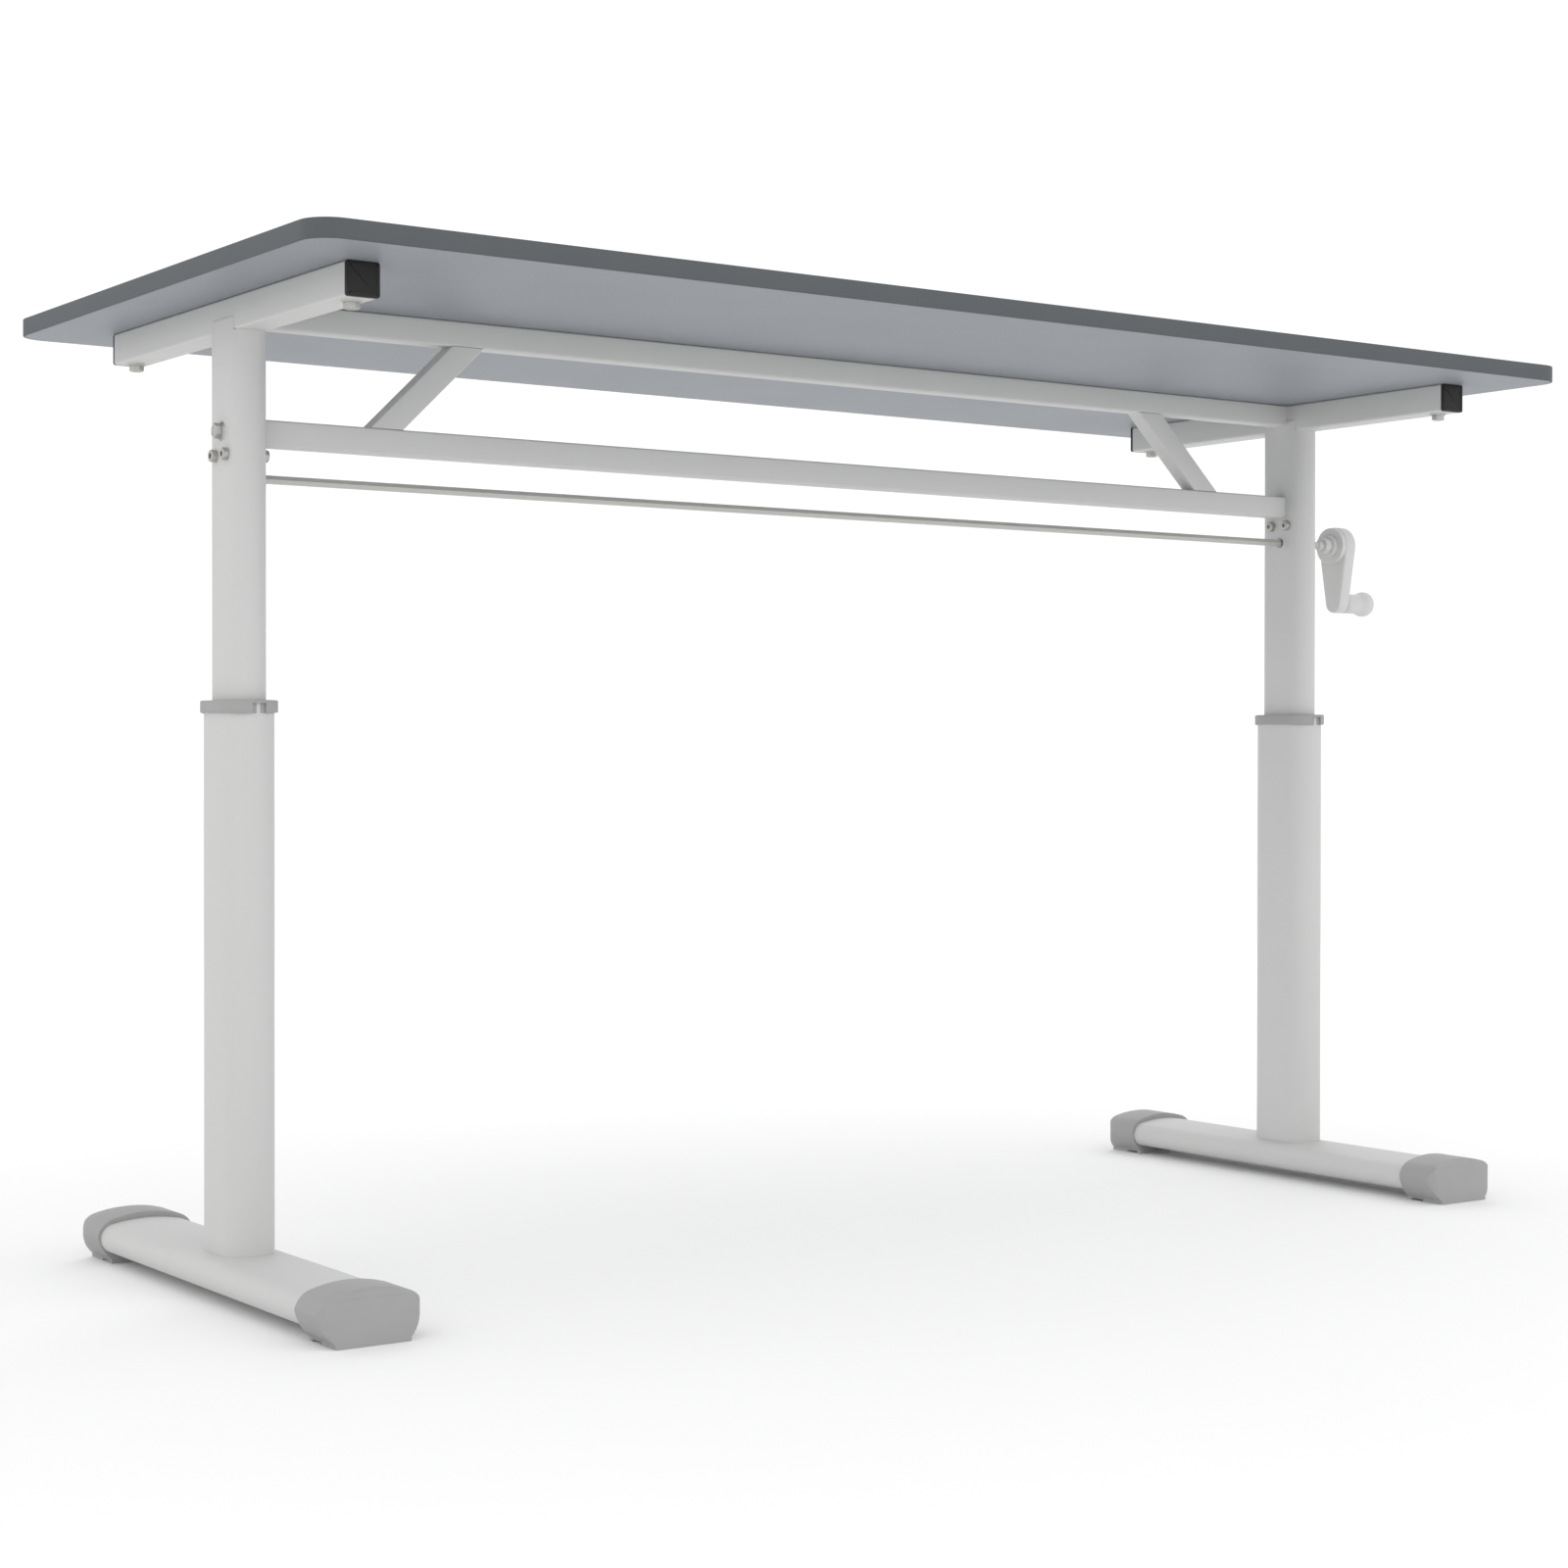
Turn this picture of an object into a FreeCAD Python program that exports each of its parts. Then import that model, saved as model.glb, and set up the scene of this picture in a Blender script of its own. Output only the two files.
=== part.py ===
import FreeCAD, Part
import math
import os

from FreeCAD import Placement, Rotation, Vector

# Height adjustable standing desk with a hand crank, millimetres, +Z up, +X towards the crank side.
# Everything is placed from the desk's middle on the floor. The origin of the written parts is the
# middle of the whole object's footprint, which lies towards the crank by half of its reach.

# ---- Driving sizes -----------------------------------------------------------------------------

# Tabletop
top_length = 1600.0
top_width = 720.0
top_thickness = 18.0
top_corner_radius = 30.0
edge_band = 2.0
desk_height = 980.0

# Travel of the top from the stored height, down and up
lift_down = 200.0
lift_up = 200.0

# Legs
leg_spacing = 1420.0
leg_y = -6.0
column_wall = 1.5
column_length_y = 73.0
sleeve_wall = 2.0
shaft_over_sleeve = 18.0
glide_gap = 6.0
column_foot_gap = 25.3
column_tongue = 12.0

# Cross beams and rails
beam_width = 33.0
beam_height = 32.0
beam_length = 536.0
beam_wall = 2.0
plug_flange = 4.5
plug_spigot = 12.0
plug_edge_radius = 0.8
rail_height = 26.0
rail_depth = 22.0
rail_wall = 1.5
lower_rail_drop = 114.0
brace_foot_inset = 154.0
brace_head_inset = 245.0

# Feet
foot_half_width = 48.5
foot_half_height = 18.5
foot_end_radius = 15.0
foot_wall = 2.0
foot_ground_gap = 7.7
foot_length = 574.0
cap_length = 54.0
cap_end_wall = 20.0
cap_side_wall = 3.5
cap_top_wall = 3.3
cap_crown = 3.0
cap_base_half_width = 37.0
cap_skirt = 4.0
cap_end_half_width = 33.0
cap_end_slope = 5.0
cap_brow_mid = (7.0, 3.0)
cap_brow_back = 13.0
cap_corner_across = 0.293
cap_corner_along = 0.293
groove_start = 6.0
groove_width = 18.0
groove_depth = 2.6

# Glides
collar_wall = 3.5
collar_height = 13.0
collar_lip = 3.0
liner_length = 45.0
collar_notch_width = 14.0
collar_notch_bite = 0.5
collar_relief = 2.0
shoe_length = 40.0
shoe_lip = 4.0
slide_gap = 0.35

# Crank drive
shaft_gap = 31.0
shaft_flats = 8.0
gear_pitch_radius = 10.0
gear_teeth = 12
gear_face = 5.0
gear_addendum = 0.9
gear_dedendum = 1.6
tooth_tip_width = 1.0
tooth_root_width = 2.5
tooth_sink = 0.4
gear_back = 2.6
gear_hub_radius = 8.0
gear_gap = 0.6
screw_diameter = 14.0
screw_journal = 12.0
screw_spigot = 8.0
spigot_gap = 2.0
screw_hub = 3.0
nut_wall = 7.0
nut_height = 30.0
nut_spigot = 15.0
nut_margin = 8.0
nut_tube_wall = 2.0
screw_clearance = 3.0
screw_end_margin = 26.0
bearing_diameter = 26.0
bearing_height = 8.0
bearing_gap = 4.4
housing_length_y = 66.0
housing_cover = 3.0
journal_wall = 1.2
journal_flange = 1.2
journal_flange_width = 2.5
journal_stand = 0.5
running_fit = 0.05
running_gap = 0.3

# Crank arm and grip
crank_stand = 31.0
crank_boss_steps = ((6.8, 5.4), (9.2, 10.0), (5.5, 14.3), (5.5, 23.0))
crank_thickness = 17.5
crank_edge_radius = 2.0
crank_boss_sink = 1.0
crank_throw = 72.0
crank_hub_radius = 24.0
crank_end_radius = 12.5
crank_socket_end = 6.0
grip_length = 46.1
grip_neck_radius = 12.5
grip_radius = 16.0
grip_end_radius = 11.0
grip_edge = 1.0
grip_round = 14.0
grip_waist = 0.4
grip_pin_diameter = 8.0
grip_pin_seat = 12.0
grip_recess_depth = 6.0
grip_head_diameter = 14.0
grip_head_height = 3.0

# Fasteners
top_bolt_inset = 19.0
top_bolt_diameter = 8.0
top_bolt_hex = 13.0
top_bolt_flange = 20.0
rail_bolt_diameter = 8.0
rail_bolt_hex = 13.0
rail_bolt_flange = 18.5
bolt_hex_height = 6.0
bolt_flange_height = 2.0
insert_wall = 2.0
insert_cover = 5.0
spacer_wall = 3.0
rail_insert_length = 30.0
gear_screw_rise = 21.0
gear_screw_pitch = 26.0
gear_screw_diameter = 6.0
gear_screw_head = 12.0
gear_screw_head_height = 6.0
gear_screw_hex = 5.0
gear_screw_depth = 9.0
crank_screw_diameter = 5.0
crank_screw_head = 10.0
crank_screw_depth = 12.0
socket_share = 0.6
bolt_tip_gap = 3.0
screw_tip_gap = 2.0
head_clearance = 0.5
hole_clearance = 0.1
column_fit = 0.1
journal_window = 0.4

# Construction allowances: how far a cutter runs past a face, and how close counts as the same place
cut_margin = 1.0
same_place = 0.01

# ---- Sizes that follow from the driving ones ----------------------------------------------------

legs = {"left": -leg_spacing / 2, "right": leg_spacing / 2}
top_z = desk_height - top_thickness
beam_z = top_z - beam_height
column_inner_width = beam_width + 2 * column_fit
column_width = column_inner_width + 2 * column_wall
column_inner_length = column_length_y - 2 * column_wall
sleeve_inner = (column_width + 2 * glide_gap, column_length_y + 2 * glide_gap)
sleeve_outer = (sleeve_inner[0] + 2 * sleeve_wall, sleeve_inner[1] + 2 * sleeve_wall)
collar_outer = (sleeve_outer[0] + 2 * collar_wall, sleeve_outer[1] + 2 * collar_wall)
foot_mid_z = foot_ground_gap + foot_half_height
foot_top = foot_mid_z + foot_half_height
column_bottom = foot_top + lift_down + column_foot_gap
foot_reach = foot_length / 2
cap_start = foot_reach - cap_length
foot_tube_reach = foot_reach - cap_end_wall
lower_rail_top = top_z - lower_rail_drop
shaft_z = lower_rail_top - rail_height - shaft_gap
sleeve_top = shaft_z - lift_down - shaft_over_sleeve
collar_top = sleeve_top + collar_lip
rail_bolt_z = lower_rail_top - rail_height / 2
brace_foot_x = leg_spacing / 2 - brace_foot_inset
brace_head_x = leg_spacing / 2 - brace_head_inset
top_bolt_y = beam_length / 2 - top_bolt_inset
insert_depth = top_thickness - insert_cover
shaft_corner = shaft_flats / math.sqrt(3)
journal_radius = shaft_corner + journal_wall
gear_depth = gear_pitch_radius + gear_back + screw_hub
housing_cavity = gear_pitch_radius + gear_back + gear_gap
housing_below = gear_depth + bearing_gap + bearing_height
spacer_radius = rail_bolt_diameter / 2 + spacer_wall
insert_diameter = top_bolt_diameter + 2 * insert_wall
housing_top = rail_bolt_z - spacer_radius - housing_cover
nut_tube_radius = screw_diameter / 2 + screw_clearance + nut_tube_wall
housing_width = column_inner_width - 2 * column_fit
housing_bottom = shaft_z - housing_below
nut_top = housing_bottom - lift_down - nut_margin
nut_bottom = nut_top - nut_height
screw_bottom = nut_bottom - lift_up - screw_end_margin
crank_face_x = legs["right"] + column_width / 2 + crank_stand + sum(step[0] for step in crank_boss_steps)
crank_outer_x = crank_face_x + crank_thickness
grip_start_x = crank_outer_x + running_gap
grip_end_x = grip_start_x + grip_length
grip_z = shaft_z - crank_throw
origin_x = max(grip_end_x - top_length / 2, 0) / 2


# ---- Plain shapes -------------------------------------------------------------------------------

def block(x, y, z):
    """Box between the given pairs of limits."""
    size = (x[1] - x[0], y[1] - y[0], z[1] - z[0])
    return Part.makeBox(*size, Vector(x[0], y[0], z[0]))


def rod(radius, start, direction, length):
    """Cylinder from a start point along a direction."""
    return Part.makeCylinder(radius, length, Vector(*start), Vector(*direction))


def prism(points, direction, length):
    """Straight-sided prism on a closed outline."""
    outline = Part.makePolygon([Vector(*point) for point in points] + [Vector(*points[0])])
    return Part.Face(outline).extrude(Vector(*direction) * length)


def hexagon_x(flats, x, y, z, length):
    """Hexagonal bar along +X."""
    corner = flats / math.sqrt(3)
    turns = [math.radians(60 * i) for i in range(6)]
    points = [(x, y + corner * math.cos(a), z + corner * math.sin(a)) for a in turns]
    return prism(points, (1, 0, 0), length)


def hexagon_z(flats, x, y, z, length):
    """Hexagonal bar along +Z."""
    corner = flats / math.sqrt(3)
    turns = [math.radians(60 * i) for i in range(6)]
    points = [(x + corner * math.cos(a), y + corner * math.sin(a), z) for a in turns]
    return prism(points, (0, 0, 1), length)


def obround(size, x, z):
    """Upright flat-oval bar: straight sides along Y, round ends. size is (width, length)."""
    radius = size[0] / 2
    flat = size[1] / 2 - radius
    height = z[1] - z[0]
    body = block((x - radius, x + radius), (leg_y - flat, leg_y + flat), z)
    for y in (leg_y - flat, leg_y + flat):
        body = body.fuse(rod(radius, (x, y, z[0]), (0, 0, 1), height))
    return body.removeSplitter()


def arc_outline(segments):
    """Closed wire: two points make a line, three points an arc through the middle one."""
    edges = []
    for points in segments:
        ends = [Vector(*point) for point in points]
        if len(ends) == 2:
            edges.append(Part.LineSegment(*ends).toShape())
        else:
            edges.append(Part.Arc(*ends).toShape())
    return Part.Wire(edges)


def foot_oval(x, y, inset):
    """Bar of the foot's flat-oval section between two Y limits, inset by a wall."""
    half_width = foot_half_width - inset
    half_height = foot_half_height - inset
    end = foot_end_radius - inset
    middle = half_width - end
    wide = (middle ** 2 + half_height ** 2 - end ** 2) / (2 * (half_height - end))
    drop = wide - half_height
    reach = wide / math.hypot(middle, drop)
    tangent_x = middle * reach
    tangent_z = drop * reach - drop

    def at(across, up):
        return (x + across, y[0], foot_mid_z + up)

    wire = arc_outline([
        (at(-tangent_x, tangent_z), at(0, half_height), at(tangent_x, tangent_z)),
        (at(tangent_x, tangent_z), at(half_width, 0), at(tangent_x, -tangent_z)),
        (at(tangent_x, -tangent_z), at(0, -half_height), at(-tangent_x, -tangent_z)),
        (at(-tangent_x, -tangent_z), at(-half_width, 0), at(-tangent_x, tangent_z)),
    ])
    return Part.Face(wire).extrude(Vector(0, y[1] - y[0], 0))


# ---- Foot and fixed half of a leg ---------------------------------------------------------------

def foot_tube(x):
    """Flat-oval foot running front to back."""
    reach = (leg_y - foot_tube_reach, leg_y + foot_tube_reach)
    return foot_oval(x, reach, 0).cut(foot_oval(x, reach, foot_wall))


def cap_section(x):
    """Outline of a foot cap seen from the front, drawn where the cap starts."""
    half = foot_half_width + cap_side_wall
    top = foot_top + cap_top_wall + cap_crown
    edge = foot_top + cap_top_wall / 2
    widest = foot_mid_z + cap_top_wall
    base = cap_base_half_width
    shoulder = half - foot_end_radius - cap_top_wall
    y = leg_y + cap_start

    def at(across, up):
        return (x + across, y, up)

    segments = [(at(-base, 0), at(base, 0))]
    for side in (1, -1):
        lower_mid = (base + half) / 2 + cap_side_wall / 2
        upper_mid = (half + shoulder) / 2 + cap_side_wall / 2
        skirt = (at(side * base, 0), at(side * base, cap_skirt))
        flank = (at(side * base, cap_skirt), at(side * lower_mid, widest / 2), at(side * half, widest))
        round_top = (
            at(side * half, widest),
            at(side * upper_mid, (widest + edge) / 2 + cap_top_wall),
            at(side * shoulder, edge),
        )
        segments += [skirt, flank, round_top]
    segments.append((at(-shoulder, edge), at(0, top), at(shoulder, edge)))
    edges = Part.__sortEdges__([edge for part in segments for edge in arc_outline([part]).Edges])
    return Part.Face(Part.Wire(edges)).extrude(Vector(0, cap_length, 0))


def cap_plan(x):
    """Upright block with the cap's outline seen from above: square inside, rounded outside."""
    half = foot_half_width + cap_side_wall + cut_margin
    start = leg_y + cap_start
    end = leg_y + foot_reach
    turn = end - (half - cap_end_half_width)
    mid = half - (half - cap_end_half_width) * cap_corner_across
    mid_y = end - (end - turn) * cap_corner_along
    wire = arc_outline([
        ((x - half, start, 0), (x + half, start, 0)),
        ((x + half, start, 0), (x + half, turn, 0)),
        ((x + half, turn, 0), (x + mid, mid_y, 0), (x + cap_end_half_width, end, 0)),
        ((x + cap_end_half_width, end, 0), (x - cap_end_half_width, end, 0)),
        ((x - cap_end_half_width, end, 0), (x - mid, mid_y, 0), (x - half, turn, 0)),
        ((x - half, turn, 0), (x - half, start, 0)),
    ])
    return Part.Face(wire).extrude(Vector(0, 0, foot_top + 2 * cap_top_wall + cap_crown))


def cap_side(x):
    """Block with the cap's outline seen from the side: sloping end face, rounded top edge."""
    half = foot_half_width + 2 * cap_side_wall
    start = leg_y + cap_start
    end = leg_y + foot_reach
    top = foot_top + cap_top_wall + cap_crown + cut_margin
    brow = foot_top - cap_top_wall
    back = end - cap_brow_back
    crown = (x - half, end - cap_brow_mid[0], top - cap_brow_mid[1])
    wire = arc_outline([
        ((x - half, start, 0), (x - half, end, 0)),
        ((x - half, end, 0), (x - half, end - cap_end_slope, brow)),
        ((x - half, end - cap_end_slope, brow), crown, (x - half, back, top)),
        ((x - half, back, top), (x - half, start, top)),
        ((x - half, start, top), (x - half, start, 0)),
    ])
    return Part.Face(wire).extrude(Vector(2 * half, 0, 0))


def foot_cap(x, front):
    """Moulded cap over one end of the foot tube, with a groove across its underside."""
    cap = cap_section(x).common(cap_plan(x)).common(cap_side(x))
    cap = cap.cut(foot_oval(x, (leg_y, leg_y + foot_tube_reach), 0))
    half = foot_half_width + 2 * cap_side_wall
    groove = leg_y + cap_start + groove_start
    cap = cap.cut(block((x - half, x + half), (groove, groove + groove_width), (0, groove_depth)))
    if front:
        cap = cap.mirror(Vector(0, leg_y, 0), Vector(0, 1, 0))
    return cap


def lower_column(x):
    """Outer tube of the leg, welded on top of the foot."""
    span = (foot_mid_z, sleeve_top)
    tube = obround(sleeve_outer, x, span).cut(obround(sleeve_inner, x, span))
    return tube.cut(foot_oval(x, (leg_y - foot_tube_reach, leg_y + foot_tube_reach), 0))


def glide_collar(x):
    """Plastic guide: a skirt over the lower column's rim and a liner inside it."""
    bore = (column_width + 2 * slide_gap, column_length_y + 2 * slide_gap)
    bottom = collar_top - collar_height
    body = obround(collar_outer, x, (bottom, collar_top))
    body = body.cut(obround(sleeve_outer, x, (bottom, sleeve_top)))
    body = body.fuse(obround(sleeve_inner, x, (collar_top - liner_length, sleeve_top + collar_lip / 2)))
    body = body.cut(obround(bore, x, (collar_top - liner_length, collar_top)))
    front = leg_y - collar_outer[1] / 2
    notch = (front - cut_margin, front + collar_wall + collar_notch_bite)
    half = collar_notch_width / 2
    body = body.cut(block((x - half, x + half), notch, (bottom, sleeve_top)))
    for side in (-1, 1):
        middle = x + side * collar_outer[0] / 2
        across = (middle - collar_wall, middle + collar_wall)
        along = (leg_y - collar_notch_width, leg_y + collar_notch_width)
        body = body.cut(block(across, along, (bottom, bottom + collar_relief)))
    return body.removeSplitter()


def nut_tube(x):
    """Post standing on the foot that carries the lead nut."""
    base = (x, leg_y, foot_mid_z)
    height = nut_bottom - foot_mid_z
    tube = rod(nut_tube_radius, base, (0, 0, 1), height)
    tube = tube.cut(rod(nut_tube_radius - nut_tube_wall, base, (0, 0, 1), height))
    return tube.cut(foot_oval(x, (leg_y - foot_reach, leg_y + foot_reach), 0))


def lead_nut(x):
    """Nut on top of its post. Its thread is a plain bore that clears the screw."""
    spigot_radius = nut_tube_radius - nut_tube_wall
    spigot_base = (x, leg_y, nut_bottom - nut_spigot)
    nut = rod(screw_diameter / 2 + nut_wall, (x, leg_y, nut_bottom), (0, 0, 1), nut_height)
    nut = nut.fuse(rod(spigot_radius, spigot_base, (0, 0, 1), nut_spigot))
    bore = rod(screw_diameter / 2 + running_fit, spigot_base, (0, 0, 1), nut_spigot + nut_height)
    return nut.cut(bore)


# ---- Moving half of a leg -----------------------------------------------------------------------

def upper_column(x):
    """Inner tube of the leg, notched round the cross beam and drilled for the drive.

    The left one has no hole on its outer side, because the cross shaft ends inside it.
    """
    span = (column_bottom, beam_z + column_tongue)
    tube = obround((column_width, column_length_y), x, span)
    tube = tube.cut(obround((column_inner_width, column_inner_length), x, span))
    half_beam = column_inner_width / 2
    saddle_y = (leg_y - column_length_y, leg_y + column_length_y)
    tube = tube.cut(block((x - half_beam, x + half_beam), saddle_y, (beam_z, top_z)))
    start = x - column_width
    window = journal_radius + journal_window
    window_start = x if x == legs["left"] else start
    tube = tube.cut(rod(window, (window_start, leg_y, shaft_z), (1, 0, 0), 2 * column_width))
    bolt = rail_bolt_diameter / 2 + hole_clearance
    tube = tube.cut(rod(bolt, (start, leg_y, rail_bolt_z), (1, 0, 0), 2 * column_width))
    for side in (-1, 1):
        y = leg_y + side * gear_screw_pitch / 2
        hole = (start, y, shaft_z + gear_screw_rise)
        tube = tube.cut(rod(gear_screw_diameter / 2 + hole_clearance, hole, (1, 0, 0), 2 * column_width))
    return tube


def slide_shoe(x):
    """Plastic shoe round the foot of the upper column that slides in the lower one."""
    outer = (sleeve_inner[0] - 2 * slide_gap, sleeve_inner[1] - 2 * slide_gap)
    bottom = column_bottom - shoe_lip
    shoe = obround(outer, x, (bottom, column_bottom + shoe_length))
    column = (column_width, column_length_y)
    shoe = shoe.cut(obround(column, x, (column_bottom, column_bottom + shoe_length)))
    return shoe.cut(obround((column_inner_width, column_inner_length), x, (bottom, column_bottom)))


def gearbox_housing(x):
    """Casting inside the upper column that holds the bevel gears and the screw's bearing."""
    body = obround((housing_width, housing_length_y), x, (housing_bottom, housing_top))
    half = housing_cavity
    seat = housing_bottom + bearing_height
    body = body.cut(block((x - half, x + half), (leg_y - half, leg_y + half), (seat, shaft_z + half)))
    body = body.cut(rod(bearing_diameter / 2, (x, leg_y, housing_bottom), (0, 0, 1), bearing_height))
    start = x - column_width
    bore = journal_radius + running_fit
    body = body.cut(rod(bore, (start, leg_y, shaft_z), (1, 0, 0), 2 * column_width))
    for side in (-1, 1):
        for y in (leg_y - gear_screw_pitch / 2, leg_y + gear_screw_pitch / 2):
            face = x + side * housing_width / 2
            base = (face, y, shaft_z + gear_screw_rise)
            depth = gear_screw_depth + screw_tip_gap
            body = body.cut(rod(gear_screw_diameter / 2 + hole_clearance, base, (-side, 0, 0), depth))
    return body


def gearbox_screws(x):
    """Four socket head screws, two on each side of the leg."""
    screws = []
    for side in (-1, 1):
        for y in (leg_y - gear_screw_pitch / 2, leg_y + gear_screw_pitch / 2):
            z = shaft_z + gear_screw_rise
            seat = x + side * column_width / 2
            head = rod(gear_screw_head / 2, (seat, y, z), (side, 0, 0), gear_screw_head_height)
            reach = column_wall + column_fit + gear_screw_depth
            screw = head.fuse(rod(gear_screw_diameter / 2, (seat, y, z), (-side, 0, 0), reach))
            depth = gear_screw_head_height * socket_share
            outer = seat + side * gear_screw_head_height
            socket = hexagon_x(gear_screw_hex, min(outer, outer - side * depth), y, z, depth)
            screws.append(screw.cut(socket))
    return Part.makeCompound(screws)


def thrust_bearing(x):
    """Ring bearing that carries the lead screw in the housing."""
    base = (x, leg_y, housing_bottom)
    ring = rod(bearing_diameter / 2, base, (0, 0, 1), bearing_height)
    return ring.cut(rod(screw_journal / 2 + running_fit, base, (0, 0, 1), bearing_height))


# ---- Drive --------------------------------------------------------------------------------------

def bevel_gear(phase):
    """Mitre gear blank hanging below its cone's tip at the origin, with its axis along Z."""
    slope = 1 / math.sqrt(2)
    small = 1 - gear_face / (gear_pitch_radius / slope)
    root_radius = gear_pitch_radius - gear_dedendum * slope
    root_z = -gear_pitch_radius - gear_dedendum * slope
    tip_radius = gear_pitch_radius + gear_addendum * slope
    tip_z = -gear_pitch_radius + gear_addendum * slope
    back_z = -gear_pitch_radius - gear_back
    hub_z = back_z - screw_hub
    outline = [
        (0, 0, root_z * small),
        (root_radius * small, 0, root_z * small),
        (root_radius, 0, root_z),
        (root_radius, 0, back_z),
        (gear_hub_radius, 0, back_z),
        (gear_hub_radius, 0, hub_z),
        (0, 0, hub_z),
    ]
    face = Part.Face(Part.makePolygon([Vector(*point) for point in outline + outline[:1]]))
    gear = face.revolve(Vector(0, 0, 0), Vector(0, 0, 1), 360)
    for i in range(gear_teeth):
        sections = []
        for scale in (1.0, small):
            corners = [
                (root_radius - tooth_sink, -tooth_root_width / 2, root_z - tooth_sink),
                (root_radius - tooth_sink, tooth_root_width / 2, root_z - tooth_sink),
                (tip_radius, tooth_tip_width / 2, tip_z),
                (tip_radius, -tooth_tip_width / 2, tip_z),
            ]
            points = [Vector(*corner) * scale for corner in corners]
            sections.append(Part.makePolygon(points + points[:1]))
        tooth = Part.makeLoft(sections, True, True)
        tooth.rotate(Vector(0, 0, 0), Vector(0, 0, 1), phase + 360.0 * i / gear_teeth)
        gear = gear.fuse(tooth)
    return gear


def screw_gear(x):
    """Gear keyed on top of the lead screw. It starts half a tooth round, so that it meshes."""
    gear = bevel_gear(180.0 / gear_teeth)
    gear.translate(Vector(x, leg_y, shaft_z))
    return gear.cut(rod(screw_spigot / 2, (x, leg_y, shaft_z - gear_depth), (0, 0, 1), gear_depth))


def shaft_pinion(x):
    """Gear on the cross shaft, on the crank side of the screw, with its bearing journal."""
    gear = bevel_gear(0.0)
    gear.transformShape(Placement(Vector(x, leg_y, shaft_z), Rotation(Vector(0, 1, 0), -90)).toMatrix())
    start = x + gear_pitch_radius + gear_back
    reach = x + column_width / 2 + journal_stand
    gear = gear.cut(rod(column_width, (start, leg_y, shaft_z), (1, 0, 0), column_width))
    gear = gear.fuse(rod(journal_radius, (start, leg_y, shaft_z), (1, 0, 0), reach - start))
    return gear.cut(hexagon_x(shaft_flats, x, leg_y, shaft_z, reach - x))


def sleeve_end(x):
    """Where the journal away from the pinion ends: inside the left leg, just outside the right one."""
    if x == legs["left"]:
        return x - housing_width / 2 + journal_stand
    return x - column_width / 2 - journal_stand


def shaft_sleeve(x):
    """Flanged journal that carries the shaft on the side of the leg away from the pinion."""
    outer = sleeve_end(x)
    flange_start = x - housing_cavity + running_gap
    inner = flange_start + journal_flange_width
    sleeve = rod(journal_radius, (outer, leg_y, shaft_z), (1, 0, 0), inner - outer)
    flange_radius = journal_radius + journal_flange
    sleeve = sleeve.fuse(rod(flange_radius, (flange_start, leg_y, shaft_z), (1, 0, 0), inner - flange_start))
    return sleeve.cut(hexagon_x(shaft_flats, outer, leg_y, shaft_z, inner - outer))


def lead_screw(x):
    """Lead screw, smooth where its thread would be, with a journal and a gear spigot on top."""
    shoulder = housing_bottom - running_gap
    gear_seat = shaft_z - gear_depth
    spigot_top = shaft_z - shaft_corner - spigot_gap
    screw = rod(screw_diameter / 2, (x, leg_y, screw_bottom), (0, 0, 1), shoulder - screw_bottom)
    screw = screw.fuse(rod(screw_journal / 2, (x, leg_y, shoulder), (0, 0, 1), gear_seat - shoulder))
    return screw.fuse(rod(screw_spigot / 2, (x, leg_y, gear_seat), (0, 0, 1), spigot_top - gear_seat))


def cross_shaft():
    """Hexagonal bar that joins both gearboxes and carries the crank."""
    start = sleeve_end(legs["left"])
    end = crank_outer_x - crank_socket_end
    bar = hexagon_x(shaft_flats, start, leg_y, shaft_z, end - start)
    radius = crank_screw_diameter / 2 + hole_clearance
    return bar.cut(rod(radius, (end, leg_y, shaft_z), (-1, 0, 0), crank_screw_depth))


def crank_arm():
    """Tapered crank with a stepped boss towards the leg and a socket for the shaft."""
    hub = rod(crank_hub_radius, (crank_face_x, leg_y, shaft_z), (1, 0, 0), crank_thickness)
    end = rod(crank_end_radius, (crank_face_x, leg_y, grip_z), (1, 0, 0), crank_thickness)
    lean = math.asin((crank_hub_radius - crank_end_radius) / crank_throw)
    corners = []
    for side in (-1, 1):
        pair = []
        for radius, z in ((crank_hub_radius, shaft_z), (crank_end_radius, grip_z)):
            y = leg_y + side * radius * math.cos(lean)
            pair.append((crank_face_x, y, z - radius * math.sin(lean)))
        corners += pair if side < 0 else pair[::-1]
    arm = prism(corners, (1, 0, 0), crank_thickness).fuse([hub, end]).removeSplitter()
    rims = [edge for edge in arm.Edges if edge.BoundBox.XLength < same_place]
    arm = arm.makeFillet(crank_edge_radius, rims)
    x = crank_face_x - sum(step[0] for step in crank_boss_steps)
    for length, radius in crank_boss_steps:
        sink = 0.0 if x + length < crank_face_x else crank_boss_sink
        arm = arm.fuse(rod(radius, (x, leg_y, shaft_z), (1, 0, 0), length + sink))
        x += length
    start = crank_face_x - sum(step[0] for step in crank_boss_steps)
    socket_end = crank_outer_x - crank_socket_end
    arm = arm.cut(hexagon_x(shaft_flats, start, leg_y, shaft_z, socket_end - start))
    screw = crank_screw_diameter / 2 + hole_clearance
    arm = arm.cut(rod(screw, (socket_end, leg_y, shaft_z), (1, 0, 0), crank_socket_end))
    recess = crank_socket_end / 2
    seat = (crank_outer_x - recess, leg_y, shaft_z)
    arm = arm.cut(rod(crank_screw_head / 2 + head_clearance, seat, (1, 0, 0), recess))
    pin_base = (crank_outer_x - grip_pin_seat, leg_y, grip_z)
    return arm.cut(rod(grip_pin_diameter / 2, pin_base, (1, 0, 0), grip_pin_seat))


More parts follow.
